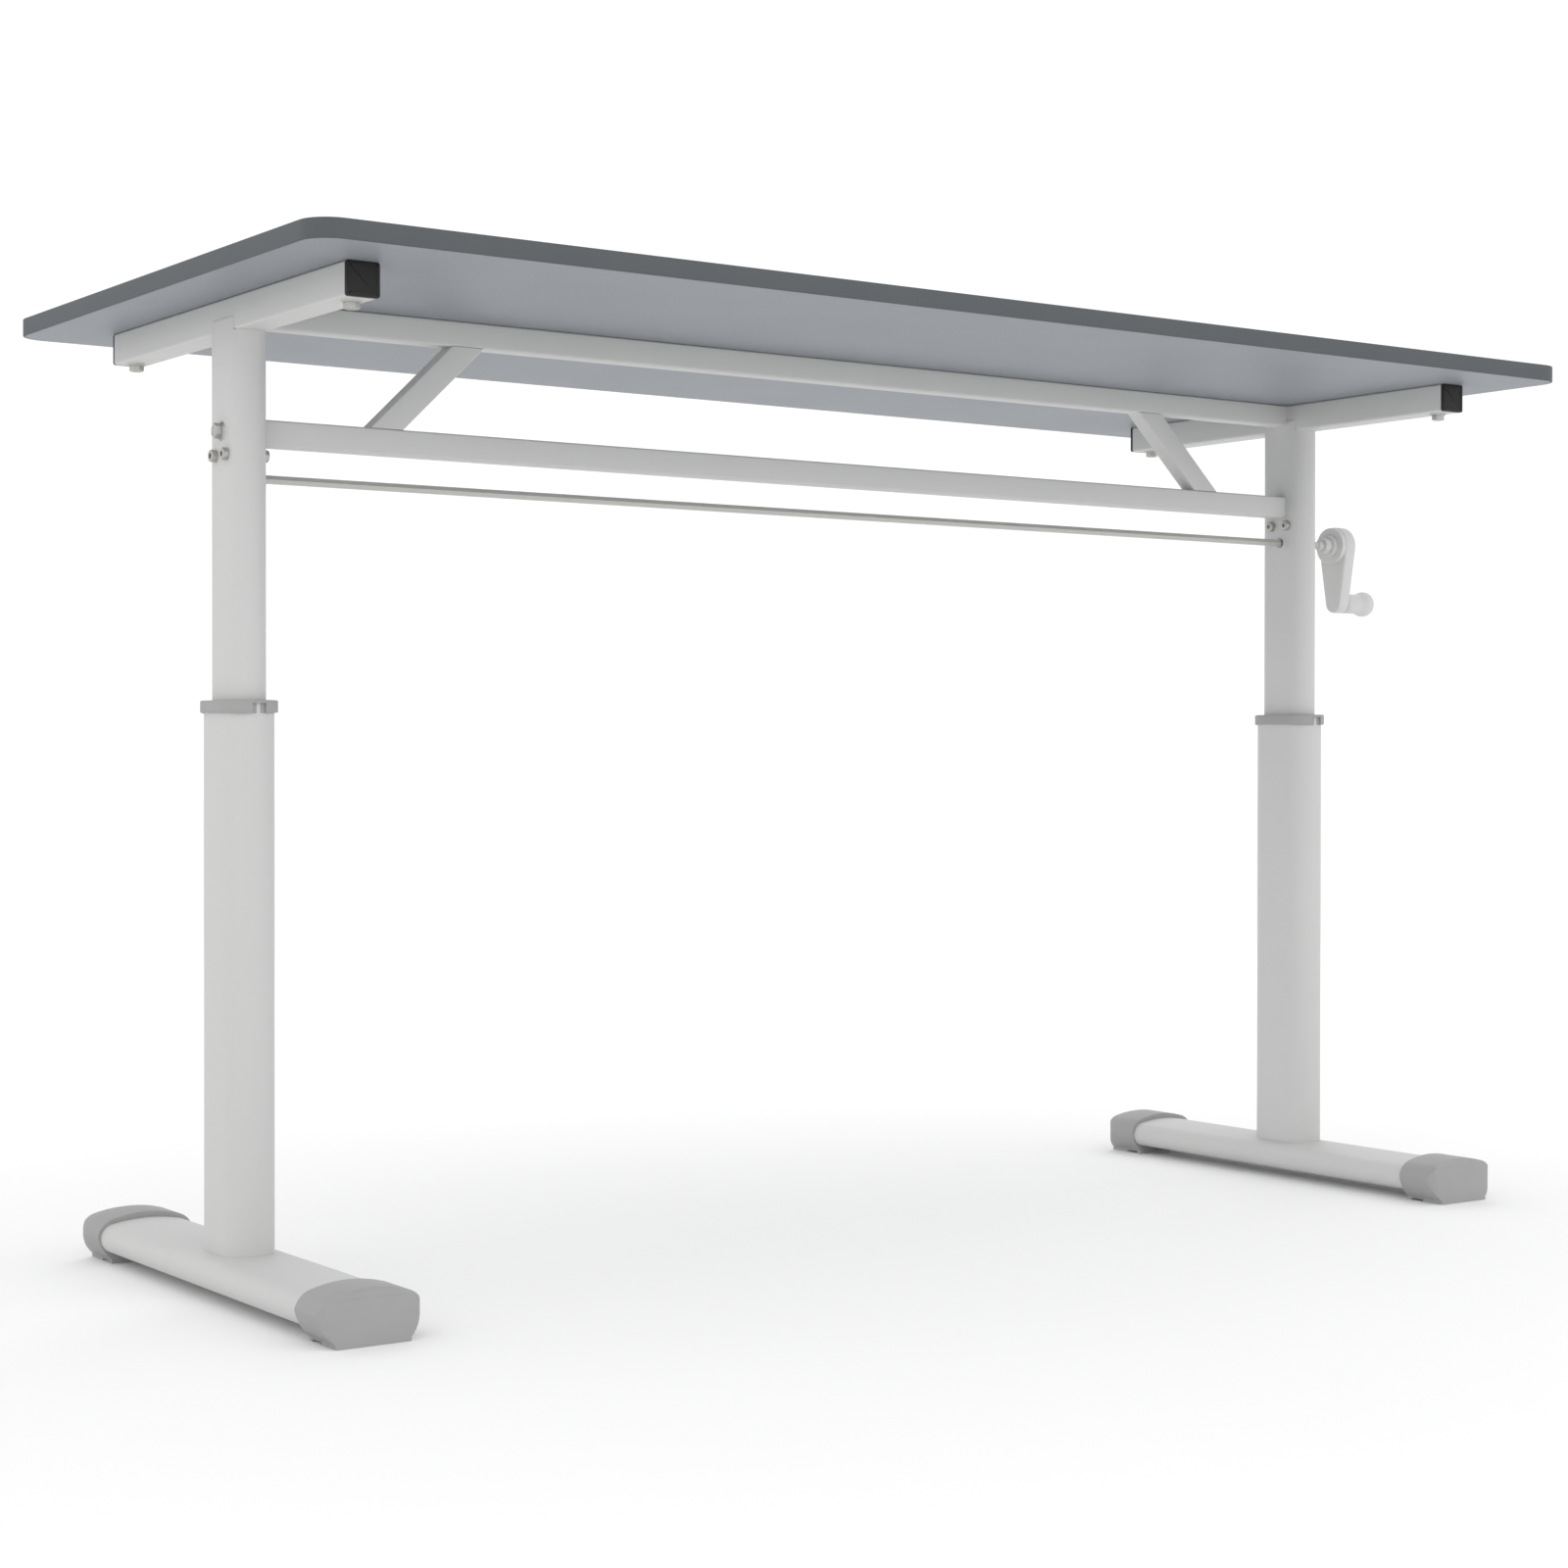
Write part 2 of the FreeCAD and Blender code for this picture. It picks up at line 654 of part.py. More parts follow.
def crank_screw():
    """Screw that holds the crank on the end of the shaft."""
    seat = crank_outer_x - crank_socket_end / 2
    head_height = crank_socket_end / 2
    head = rod(crank_screw_head / 2, (seat, leg_y, shaft_z), (1, 0, 0), head_height)
    reach = crank_socket_end / 2 + crank_screw_depth - screw_tip_gap
    screw = head.fuse(rod(crank_screw_diameter / 2, (seat, leg_y, shaft_z), (-1, 0, 0), reach))
    depth = head_height * socket_share
    return screw.cut(hexagon_x(gear_screw_hex, seat + head_height - depth, leg_y, shaft_z, depth))


def grip_head_x():
    """Where the grip pin's head starts, just clear of the bottom of the grip's recess."""
    return grip_end_x - grip_recess_depth + running_gap


def grip_pin():
    """Pin pressed into the crank that the grip turns on."""
    start = crank_outer_x - grip_pin_seat
    pin = rod(grip_pin_diameter / 2, (start, leg_y, grip_z), (1, 0, 0), grip_head_x() - start)
    head_base = (grip_head_x(), leg_y, grip_z)
    return pin.fuse(rod(grip_head_diameter / 2, head_base, (1, 0, 0), grip_head_height))


def crank_grip():
    """Flared grip, free to turn on its pin."""
    def at(along, radius):
        return (grip_start_x + along, leg_y, grip_z + radius)

    swell = grip_length - grip_round
    widest = grip_radius - grip_waist
    wire = arc_outline([
        (at(0, 0), at(0, grip_neck_radius - grip_edge)),
        (at(0, grip_neck_radius - grip_edge), at(grip_edge, grip_neck_radius)),
        (at(grip_edge, grip_neck_radius), at(swell / 2, grip_neck_radius + grip_waist), at(swell, widest)),
        (at(swell, widest), at(swell + grip_round / 2, grip_radius), at(grip_length, grip_end_radius)),
        (at(grip_length, grip_end_radius), at(grip_length, 0)),
        (at(grip_length, 0), at(0, 0)),
    ])
    axis = Vector(grip_start_x, leg_y, grip_z)
    grip = Part.Face(wire).revolve(axis, Vector(1, 0, 0), 360)
    grip = grip.cut(rod(grip_pin_diameter / 2 + running_fit, tuple(axis), (1, 0, 0), grip_length))
    recess = (grip_end_x - grip_recess_depth, leg_y, grip_z)
    return grip.cut(rod(grip_head_diameter / 2 + 2 * running_gap, recess, (1, 0, 0), grip_recess_depth))


# ---- Frame under the top ------------------------------------------------------------------------

def cross_beam(x):
    """Rectangular beam that carries the tabletop over one leg."""
    half, long = beam_width / 2, beam_length / 2
    beam = block((x - half, x + half), (-long, long), (beam_z, top_z))
    hollow = block(
        (x - half + beam_wall, x + half - beam_wall),
        (-long, long),
        (beam_z + beam_wall, top_z - beam_wall),
    )
    beam = beam.cut(hollow)
    for y in (-top_bolt_y, top_bolt_y):
        hole = rod(top_bolt_diameter / 2 + hole_clearance, (x, y, beam_z), (0, 0, 1), beam_height)
        beam = beam.cut(hole)
    return beam


def beam_plug(x, front):
    """Moulded plug that closes one end of a cross beam."""
    end = -beam_length / 2 if front else beam_length / 2
    out = -1 if front else 1
    half = beam_width / 2
    flange_y = sorted((end, end + out * plug_flange))
    flange = block((x - half, x + half), flange_y, (beam_z, top_z))
    face = end + out * plug_flange
    rim = [edge for edge in flange.Edges if abs(edge.CenterOfMass.y - face) < same_place]
    flange = flange.makeFillet(plug_edge_radius, rim)
    inner = half - beam_wall
    spigot_y = sorted((end, end - out * plug_spigot))
    spigot = block((x - inner, x + inner), spigot_y, (beam_z + beam_wall, top_z - beam_wall))
    pocket_half = inner - beam_wall
    pocket_z = (beam_z + 2 * beam_wall, top_z - 2 * beam_wall)
    return flange.fuse(spigot.cut(block((x - pocket_half, x + pocket_half), spigot_y, pocket_z)))


def rail_tube(x, z_top):
    """Rectangular rail along X, in line with the legs."""
    half, wall = rail_depth / 2, rail_wall
    z_low = z_top - rail_height
    outer = block(x, (leg_y - half, leg_y + half), (z_low, z_top))
    return outer.cut(block(x, (leg_y - half + wall, leg_y + half - wall), (z_low + wall, z_top - wall)))


def top_rail():
    """Rail between the cross beams, notched round the upper columns."""
    reach = leg_spacing / 2 - beam_width / 2
    rail = rail_tube((-reach, reach), top_z)
    for x in legs.values():
        column = (column_width, column_length_y)
        rail = rail.cut(obround(column, x, (beam_z, beam_z + column_tongue)))
    return rail


def lower_rail():
    """Rail bolted between the upper columns."""
    reach = leg_spacing / 2 - column_width / 2
    return rail_tube((-reach, reach), lower_rail_top)


def brace(side):
    """Leaning tube between the two rails, its ends cut level."""
    low, high = lower_rail_top, top_z - rail_height
    foot, head = side * brace_foot_x, side * brace_head_x
    slant = math.hypot(head - foot, high - low) / (high - low)
    half = rail_height * slant / 2

    def leaning(half_width, half_depth):
        y = leg_y - half_depth
        points = [
            (foot - half_width, y, low),
            (foot + half_width, y, low),
            (head + half_width, y, high),
            (head - half_width, y, high),
        ]
        return prism(points, (0, 1, 0), 2 * half_depth)

    return leaning(half, rail_depth / 2).cut(leaning(half - rail_wall * slant, rail_depth / 2 - rail_wall))


def flanged_bolt(sizes, seat, direction, reach):
    """Hexagon bolt with a flange. sizes is (diameter, across flats, flange); direction points to the head."""
    diameter, flats, flange_diameter = sizes
    shank = rod(diameter / 2, seat, tuple(-value for value in direction), reach)
    flange = rod(flange_diameter / 2, seat, direction, bolt_flange_height)
    x, y, z = (seat[i] + direction[i] * bolt_flange_height for i in range(3))
    if direction[2]:
        head = hexagon_z(flats, x, y, z - bolt_hex_height, bolt_hex_height)
    else:
        head = hexagon_x(flats, min(x, x + direction[0] * bolt_hex_height), y, z, bolt_hex_height)
    return shank.fuse([flange, head])


def over_each_top_bolt(make):
    """One solid from make(x, y) at each bolt through a cross beam."""
    return Part.makeCompound([make(x, y) for x in legs.values() for y in (-top_bolt_y, top_bolt_y)])


def top_bolt(x, y):
    """Bolt from below a cross beam into the tabletop."""
    sizes = (top_bolt_diameter, top_bolt_hex, top_bolt_flange)
    return flanged_bolt(sizes, (x, y, beam_z), (0, 0, -1), beam_height + insert_depth - bolt_tip_gap)


def top_insert(x, y):
    """Threaded insert in the tabletop's underside."""
    insert = rod(insert_diameter / 2, (x, y, top_z), (0, 0, 1), insert_depth)
    return insert.cut(rod(top_bolt_diameter / 2 + hole_clearance, (x, y, top_z), (0, 0, 1), insert_depth))


def over_each_leg(make):
    """One solid from make(x, side) at each leg, side pointing away from the middle."""
    return Part.makeCompound([make(x, 1 if x > 0 else -1) for x in legs.values()])


def rail_bolt(x, side):
    """Bolt through an upper column into the end of the lower rail."""
    seat = (x + side * column_width / 2, leg_y, rail_bolt_z)
    sizes = (rail_bolt_diameter, rail_bolt_hex, rail_bolt_flange)
    return flanged_bolt(sizes, seat, (side, 0, 0), column_width + rail_insert_length - bolt_tip_gap)


def rail_spacer(x, side):
    """Sleeve inside the column that the rail bolt clamps against."""
    half = column_inner_width / 2
    start = (x - half, leg_y, rail_bolt_z)
    sleeve = rod(spacer_radius, start, (1, 0, 0), column_inner_width)
    return sleeve.cut(rod(rail_bolt_diameter / 2 + hole_clearance, start, (1, 0, 0), column_inner_width))


def rail_insert(x, side):
    """Threaded block inside the end of the lower rail."""
    end = x - side * column_width / 2
    across = sorted((end, end - side * rail_insert_length))
    half = rail_depth / 2 - rail_wall
    z = (lower_rail_top - rail_height + rail_wall, lower_rail_top - rail_wall)
    body = block(across, (leg_y - half, leg_y + half), z)
    start = (across[0], leg_y, rail_bolt_z)
    return body.cut(rod(rail_bolt_diameter / 2 + hole_clearance, start, (1, 0, 0), rail_insert_length))


# ---- Tabletop -----------------------------------------------------------------------------------

def rounded_slab(inset):
    """Slab of the tabletop's outline, inset on all four sides."""
    half_x, half_y = top_length / 2 - inset, top_width / 2 - inset
    slab = block((-half_x, half_x), (-half_y, half_y), (top_z, desk_height))
    corners = [edge for edge in slab.Edges if edge.BoundBox.ZLength > top_thickness / 2]
    return slab.makeFillet(top_corner_radius - inset, corners)


def tabletop_board():
    """Laminated board inside the edge band, drilled for the inserts."""
    board = rounded_slab(edge_band)
    for x in legs.values():
        for y in (-top_bolt_y, top_bolt_y):
            board = board.cut(rod(insert_diameter / 2, (x, y, top_z), (0, 0, 1), insert_depth))
    return board


def top_edge_band():
    """Plastic band round the board's edge."""
    return rounded_slab(0).cut(rounded_slab(edge_band))


# ---- Writing ------------------------------------------------------------------------------------

def write(name, shape):
    """Move a part from the desk's middle to the object's origin and write it."""
    moved = shape.copy()
    moved.translate(Vector(-origin_x, 0, 0))
    if not moved.isValid():
        raise ValueError(name + " is not a valid shape")
    moved.exportStep("parts/" + name + ".step")


def write_leg(side, x):
    """Write every piece that each leg has."""
    write("foot_tube_" + side, foot_tube(x))
    write("foot_cap_front_" + side, foot_cap(x, True))
    write("foot_cap_back_" + side, foot_cap(x, False))
    write("lower_column_" + side, lower_column(x))
    write("glide_collar_" + side, glide_collar(x))
    write("nut_tube_" + side, nut_tube(x))
    write("lead_nut_" + side, lead_nut(x))
    write("upper_column_" + side, upper_column(x))
    write("slide_shoe_" + side, slide_shoe(x))
    write("gearbox_housing_" + side, gearbox_housing(x))
    write("gearbox_screws_" + side, gearbox_screws(x))
    write("thrust_bearing_" + side, thrust_bearing(x))
    write("screw_gear_" + side, screw_gear(x))
    write("lead_screw_" + side, lead_screw(x))
    write("shaft_pinion_" + side, shaft_pinion(x))
    write("shaft_sleeve_" + side, shaft_sleeve(x))
    write("cross_beam_" + side, cross_beam(x))
    write("beam_plug_front_" + side, beam_plug(x, True))
    write("beam_plug_back_" + side, beam_plug(x, False))
    write("brace_" + side, brace(1 if x > 0 else -1))


def main():
    os.makedirs("parts", exist_ok=True)
    for side, x in legs.items():
        write_leg(side, x)
    write("top_rail", top_rail())
    write("lower_rail", lower_rail())
    write("rail_bolts", over_each_leg(rail_bolt))
    write("rail_spacers", over_each_leg(rail_spacer))
    write("rail_inserts", over_each_leg(rail_insert))
    write("top_bolts", over_each_top_bolt(top_bolt))
    write("top_inserts", over_each_top_bolt(top_insert))
    write("tabletop_board", tabletop_board())
    write("top_edge_band", top_edge_band())
    write("cross_shaft", cross_shaft())
    write("crank_arm", crank_arm())
    write("crank_screw", crank_screw())
    write("grip_pin", grip_pin())
    write("crank_grip", crank_grip())


main()
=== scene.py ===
"""Looks of the height adjustable standing desk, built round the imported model, in metres."""

import logging
import math
from dataclasses import dataclass, field
from enum import Enum
from typing import Any, Iterable

import bmesh
import bpy
from mathutils import Euler, Matrix, Vector


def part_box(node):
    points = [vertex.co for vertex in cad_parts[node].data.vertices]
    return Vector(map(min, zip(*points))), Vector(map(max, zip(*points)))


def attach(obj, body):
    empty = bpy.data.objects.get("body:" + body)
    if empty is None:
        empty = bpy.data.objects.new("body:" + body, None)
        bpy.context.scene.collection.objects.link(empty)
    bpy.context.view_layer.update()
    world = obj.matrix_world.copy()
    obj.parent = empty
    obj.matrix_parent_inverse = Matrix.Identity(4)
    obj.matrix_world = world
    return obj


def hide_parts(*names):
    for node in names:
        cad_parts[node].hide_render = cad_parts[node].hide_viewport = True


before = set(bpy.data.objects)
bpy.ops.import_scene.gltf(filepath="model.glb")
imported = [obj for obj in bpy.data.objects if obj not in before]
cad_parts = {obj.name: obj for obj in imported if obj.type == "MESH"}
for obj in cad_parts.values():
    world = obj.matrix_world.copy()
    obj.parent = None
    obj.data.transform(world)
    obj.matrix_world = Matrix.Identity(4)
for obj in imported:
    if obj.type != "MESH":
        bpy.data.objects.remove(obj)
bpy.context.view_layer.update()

MM = 0.001
CRISP_ANGLE = 32.0  # degrees; edges between flatter faces are shaded smooth
LEVEL = 1e-6  # metres; the ends of a level edge differ in height by less
log = logging.getLogger("standing_desk")
Socket = bpy.types.NodeSocket


# ---- Colour and node helpers --------------------------------------------------------------------

def linear(code: str) -> tuple[float, float, float, float]:
    """Turn an sRGB hex colour into linear values.

    Args:
        code: six hexadecimal digits, such as "cccccc".

    Returns:
        Linear red, green, blue and an alpha of 1.
    """
    parts = [int(code[i:i + 2], 16) / 255 for i in (0, 2, 4)]
    values = [c / 12.92 if c <= 0.04045 else ((c + 0.055) / 1.055) ** 2.4 for c in parts]
    return (values[0], values[1], values[2], 1.0)


def add(tree: bpy.types.NodeTree, kind: str, inputs: dict[Any, Any] | None = None,
        **settings: Any) -> bpy.types.Node:
    """Add a node with its settings and links.

    Args:
        tree: node tree to add to.
        kind: node type, such as "ShaderNodeTexNoise".
        inputs: socket name or index to a value, or to an output socket that is linked to it.
        settings: the node's own properties.

    Returns:
        The new node.
    """
    node = tree.nodes.new(kind)
    for name, value in settings.items():
        setattr(node, name, value)
    for key, value in (inputs or {}).items():
        if isinstance(value, bpy.types.NodeSocket):
            tree.links.new(value, node.inputs[key])
        else:
            node.inputs[key].default_value = value
    return node


def per_mm(size: float) -> float:
    """Texture scale whose features are about size millimetres across."""
    return 1.0 / (size * MM)


def noise(tree: bpy.types.NodeTree, place: Socket, size: float, detail: float,
          roughness: float = 0.5) -> Socket:
    """Add soft noise.

    Args:
        tree: node tree to add to.
        place: coordinate socket.
        size: how wide its features are, in millimetres.
        detail: how many finer layers lie on it.
        roughness: how strong the finer layers are.

    Returns:
        Socket of its value.
    """
    return add(tree, "ShaderNodeTexNoise", {"Vector": place, "Scale": per_mm(size), "Detail": detail,
                                            "Roughness": roughness}).outputs[0]


def blend(tree: bpy.types.NodeTree, share: float, one: Socket, other: Socket) -> Socket:
    """Mix two values.

    Args:
        tree: node tree to add to.
        share: how much of the other value there is, from 0 to 1.
        one: first value.
        other: other value.

    Returns:
        Socket of the mix.
    """
    return add(tree, "ShaderNodeMix", {0: share, 2: one, 3: other}).outputs[0]


# ---- Finishes -----------------------------------------------------------------------------------

@dataclass(frozen=True)
class Finish:
    """What every finish has: a name, its colours and its surface numbers."""

    name: str
    light: str
    dark: str
    roughness: float
    metallic: float = 0.0
    ior: float = 1.5
    coat: float = 0.0

    def start(self) -> tuple[bpy.types.Material, bpy.types.NodeTree, bpy.types.Node, Socket]:
        """Make the material with its shader and coordinates.

        Returns:
            The material, its node tree, its shader and the object coordinate socket.
        """
        material = bpy.data.materials.new(self.name)
        material.use_nodes = True
        tree = material.node_tree
        tree.nodes.clear()
        shader = add(tree, "ShaderNodeBsdfPrincipled", {"Roughness": self.roughness, "IOR": self.ior,
                                                         "Metallic": self.metallic, "Coat Weight": self.coat})
        add(tree, "ShaderNodeOutputMaterial", {"Surface": shader.outputs[0]})
        place = add(tree, "ShaderNodeTexCoord").outputs["Object"]
        return material, tree, shader, place

    def shade(self, tree: bpy.types.NodeTree, amount: Socket) -> Socket:
        """Blend from the dark to the light colour.

        Args:
            tree: node tree.
            amount: output socket from 0, dark, to 1, light.

        Returns:
            The colour socket.
        """
        mix = add(tree, "ShaderNodeMix", {0: amount, 6: linear(self.dark), 7: linear(self.light)},
                  data_type="RGBA")
        return mix.outputs[2]

    def vary(self, tree: bpy.types.NodeTree, shader: bpy.types.Node, value: Socket, less: float,
             more: float) -> None:
        """Let the roughness follow a value.

        Args:
            tree: node tree.
            shader: shader of the finish.
            value: output socket from 0 to 1.
            less: how far the roughness falls at 0.
            more: how far it rises at 1.
        """
        rough = add(tree, "ShaderNodeMapRange", {0: value, 3: self.roughness - less,
                                                 4: self.roughness + more})
        tree.links.new(rough.outputs[0], shader.inputs["Roughness"])

    def emboss(self, tree: bpy.types.NodeTree, shader: bpy.types.Node, height: Socket, strength: float,
               depth: float) -> None:
        """Give the surface a fine relief.

        Args:
            tree: node tree.
            shader: shader of the finish.
            height: output socket of the relief's height.
            strength: how much of the relief shows, from 0 to 1.
            depth: how deep it is, in millimetres.
        """
        bump = add(tree, "ShaderNodeBump", {"Strength": strength, "Distance": depth * MM, "Height": height})
        tree.links.new(bump.outputs[0], shader.inputs["Normal"])

    def build(self) -> bpy.types.Material:
        """Make the finish; each kind has its own."""
        raise NotImplementedError


@dataclass(frozen=True)
class PowderCoat(Finish):
    """Satin polyester powder on steel tube: even, slightly orange-peeled, soft highlights."""

    peel_mm: float = 2.2
    peel_depth: float = 0.06
    cloud_mm: float = 160.0
    # Grains of powder are about 0.1 mm; they are drawn this coarse so that they show.
    speck_mm: float = 0.9
    speck_share: float = 0.35

    def build(self) -> bpy.types.Material:
        """Make the powder coat.

        Returns:
            The material.
        """
        material, tree, shader, place = self.start()
        cloud = noise(tree, place, self.cloud_mm, 3.0)
        speck = noise(tree, place, self.speck_mm, 2.0)
        both = blend(tree, self.speck_share, cloud, speck)
        tree.links.new(self.shade(tree, both), shader.inputs["Base Color"])
        self.vary(tree, shader, cloud, 0.05, 0.06)
        peel = noise(tree, place, self.peel_mm, 2.0, 0.45)
        self.emboss(tree, shader, peel, 0.16, self.peel_depth)
        return material


@dataclass(frozen=True)
class MouldedPlastic(Finish):
    """Injection moulded plastic from a spark eroded tool: even colour, fine matt grain."""

    # A tool's grain is about 0.1 mm; it is drawn this coarse so that it shows.
    grain_mm: float = 0.8
    grain_depth: float = 0.05
    grain_share: float = 0.4
    pit_size: float = 1.4
    flow_mm: float = 30.0

    def build(self) -> bpy.types.Material:
        """Make the moulded plastic.

        Returns:
            The material.
        """
        material, tree, shader, place = self.start()
        flow = noise(tree, place, self.flow_mm, 2.0)
        grain = noise(tree, place, self.grain_mm, 4.0, 0.6)
        pits = add(tree, "ShaderNodeTexVoronoi", {"Vector": place,
                                                  "Scale": per_mm(self.grain_mm * self.pit_size)})
        both = blend(tree, self.grain_share, flow, grain)
        tree.links.new(self.shade(tree, both), shader.inputs["Base Color"])
        self.vary(tree, shader, grain, 0.06, 0.06)
        height = add(tree, "ShaderNodeMath", {0: grain, 1: pits.outputs[0]}, operation="ADD")
        self.emboss(tree, shader, height.outputs[0], 0.3, self.grain_depth)
        return material


@dataclass(frozen=True)
class FleckedLaminate(Finish):
    """Melamine laminate pressed on particle board: matt, with a printed fleck of soft blotches and dots."""

    # The printed fleck is finer on a real board; both sizes are coarse enough to show.
    fleck_mm: float = 2.6
    dot_mm: float = 1.3
    dot: str = "676d75"
    fleck_share: float = 0.85
    cloud_size: float = 40
    dot_strength: float = 0.55
    skin_mm: float = 0.7
    skin_depth: float = 0.04

    def build(self) -> bpy.types.Material:
        """Make the laminate.

        Returns:
            The material.
        """
        material, tree, shader, place = self.start()
        cloud = noise(tree, place, self.fleck_mm * self.cloud_size, 2.0)
        fleck = noise(tree, place, self.fleck_mm, 5.0, 0.7)
        both = blend(tree, self.fleck_share, cloud, fleck)
        # The middle of the noise is stretched to the full range of the two colours.
        wide = add(tree, "ShaderNodeMapRange", {0: both, 1: 0.32, 2: 0.68})
        base = self.shade(tree, wide.outputs[0])
        dots = noise(tree, place, self.dot_mm, 1.0)
        # Only the peaks of the noise become dots.
        few = add(tree, "ShaderNodeMapRange", {0: dots, 1: 0.60, 2: 0.70, 3: 0.0, 4: self.dot_strength})
        dotted = add(tree, "ShaderNodeMix", {0: few.outputs[0], 6: base, 7: linear(self.dot)},
                     data_type="RGBA")
        tree.links.new(dotted.outputs[2], shader.inputs["Base Color"])
        self.vary(tree, shader, fleck, 0.07, 0.07)
        self.emboss(tree, shader, noise(tree, place, self.skin_mm, 3.0), 0.2, self.skin_depth)
        return material


@dataclass(frozen=True)
class PlatedSteel(Finish):
    """Zinc plated or bare steel: bright, soft metallic sheen with faint working marks."""

    mark_mm: float = 0.5
    mark_depth: float = 0.02
    haze_mm: float = 7.0
    stretch: tuple[float, float, float] = (1.0, 1.0, 1.0)

    def build(self) -> bpy.types.Material:
        """Make the metal.

        Returns:
            The material.
        """
        material, tree, shader, place = self.start()
        along = add(tree, "ShaderNodeMapping", {"Vector": place, "Scale": self.stretch})
        marks = noise(tree, along.outputs[0], self.mark_mm, 3.0)
        both = blend(tree, 0.5, marks, noise(tree, place, self.haze_mm, 3.0))
        tree.links.new(self.shade(tree, both), shader.inputs["Base Color"])
        self.vary(tree, shader, both, 0.08, 0.1)
        self.emboss(tree, shader, marks, 0.15, self.mark_depth)
        return material


class Look(Enum):
    """Every finish on the desk, each named for the real material and how it was made."""

    # Polyester powder baked on steel: an even light grey, satin, with a shallow orange peel.
    FRAME = PowderCoat("powder_coated_steel", "cacac9", "c3c3c2", 0.55)
    # Polypropylene moulded against a spark eroded tool: mid grey, matt, a fine pitted grain.
    CAPS = MouldedPlastic("spark_textured_polypropylene_grey", "a2a2a2", "989898", 0.6)
    # ABS moulded with a fine texture: light grey, a little smoother than the caps.
    CRANK = MouldedPlastic("moulded_abs_light_grey", "d2d2d1", "c9c9c8", 0.48, grain_mm=0.7)
    # Polyethylene moulded black: deep and dull, its rim catching a thin soft highlight.
    PLUG = MouldedPlastic("moulded_polyethylene_black", "1b1b1c", "141415", 0.5, ior=1.45, grain_mm=1.1)
    # ABS strip extruded and embossed: dark slate grey, matt, with a leathery fine grain.
    BAND = MouldedPlastic("extruded_abs_edge_slate", "53585b", "4b4f52", 0.6, grain_mm=1.0, flow_mm=60.0)
    # Melamine paper pressed on particle board: cool grey with a printed fleck of fine dots.
    LAMINATE = FleckedLaminate("melamine_laminate_blue_grey", "92979d", "7c8187", 0.5)
    # Nylon moulded without colour: milky off-white, slightly waxy.
    NYLON = MouldedPlastic("moulded_nylon_natural", "e6e2d6", "dcd7ca", 0.4, grain_mm=0.6)
    # Steel electroplated with bright zinc: pale grey with a faint haze.
    ZINC = PlatedSteel("zinc_plated_steel", "c3c2be", "a7a6a2", 0.42, metallic=0.9)
    # Steel drawn to a hexagon: light grey flats with marks along the bar.
    DRAWN = PlatedSteel("drawn_hexagon_steel", "c6c5c1", "b4b3af", 0.45, metallic=0.5,
                        stretch=(0.04, 1.0, 1.0))
    # Steel turned on a lathe: darker, with rings round the bar.
    TURNED = PlatedSteel("turned_bright_steel", "a9a9ab", "8c8c90", 0.3, metallic=1.0,
                         stretch=(1.0, 1.0, 12.0))
    # Aluminium cast in a steel die: dull grey with a soft, cloudy skin.
    CAST = PlatedSteel("die_cast_aluminium", "b9bcc0", "9ea2a7", 0.5, metallic=1.0, mark_mm=1.5)
    # Brass turned on a lathe: warm yellow with fine rings.
    BRASS = PlatedSteel("turned_brass", "d7b469", "bb9549", 0.32, metallic=1.0, stretch=(1.0, 1.0, 10.0))


class Paintbox:
    """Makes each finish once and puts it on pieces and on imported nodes."""

    def __init__(self) -> None:
        """Start with no material made."""
        self.made: dict[Look, bpy.types.Material] = {}

    def get(self, look: Look) -> bpy.types.Material:
        """Material of a finish, made the first time it is asked for.

        Args:
            look: finish.

        Returns:
            Its material.
        """
        if look not in self.made:
            self.made[look] = look.value.build()
        return self.made[look]

    def dress_node(self, name: str, look: Look) -> None:
        """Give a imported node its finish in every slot.

        Args:
            name: node's name.
            look: finish.
        """
        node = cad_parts[name]
        if not node.material_slots:
            node.data.materials.append(self.get(look))
        for each in node.material_slots:
            each.material = self.get(look)


# ---- Mesh helpers -------------------------------------------------------------------------------

def close_edges_smooth(bm: bmesh.types.BMesh, angle: float) -> None:
    """Smooth every face and keep edges sharper than an angle crisp.

    Args:
        bm: mesh.
        angle: degrees.
    """
    limit = math.radians(angle)
    for face in bm.faces:
        face.smooth = True
    for edge in bm.edges:
        edge.smooth = len(edge.link_faces) == 2 and edge.calc_face_angle(math.pi) < limit


@dataclass
class Maker:
    """Turns finished meshes into pieces of the desk."""

    paints: Paintbox
    count: int = 0

    def piece(self, name: str, bm: bmesh.types.BMesh, look: Look, body: str, stands_for: Iterable[str],
              slot: str, angle: float = CRISP_ANGLE, turn_out: bool = True) -> bpy.types.Object:
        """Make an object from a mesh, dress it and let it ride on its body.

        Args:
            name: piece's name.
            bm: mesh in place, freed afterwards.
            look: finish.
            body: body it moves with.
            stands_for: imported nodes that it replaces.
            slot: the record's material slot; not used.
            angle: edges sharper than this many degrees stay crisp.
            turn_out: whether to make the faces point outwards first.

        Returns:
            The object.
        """
        if turn_out:
            bmesh.ops.recalc_face_normals(bm, faces=bm.faces)
        close_edges_smooth(bm, angle)
        mesh = bpy.data.meshes.new(name)
        bm.to_mesh(mesh)
        bm.free()
        mesh.materials.append(self.paints.get(look))
        made = bpy.data.objects.new(name, mesh)
        bpy.context.scene.collection.objects.link(made)
        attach(made, body)
        nodes = list(stands_for)
        if nodes:
            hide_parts(*nodes)
        self.count += 1
        log.info("%s: %d faces, rides on %s", name, len(mesh.polygons), body)
        return made


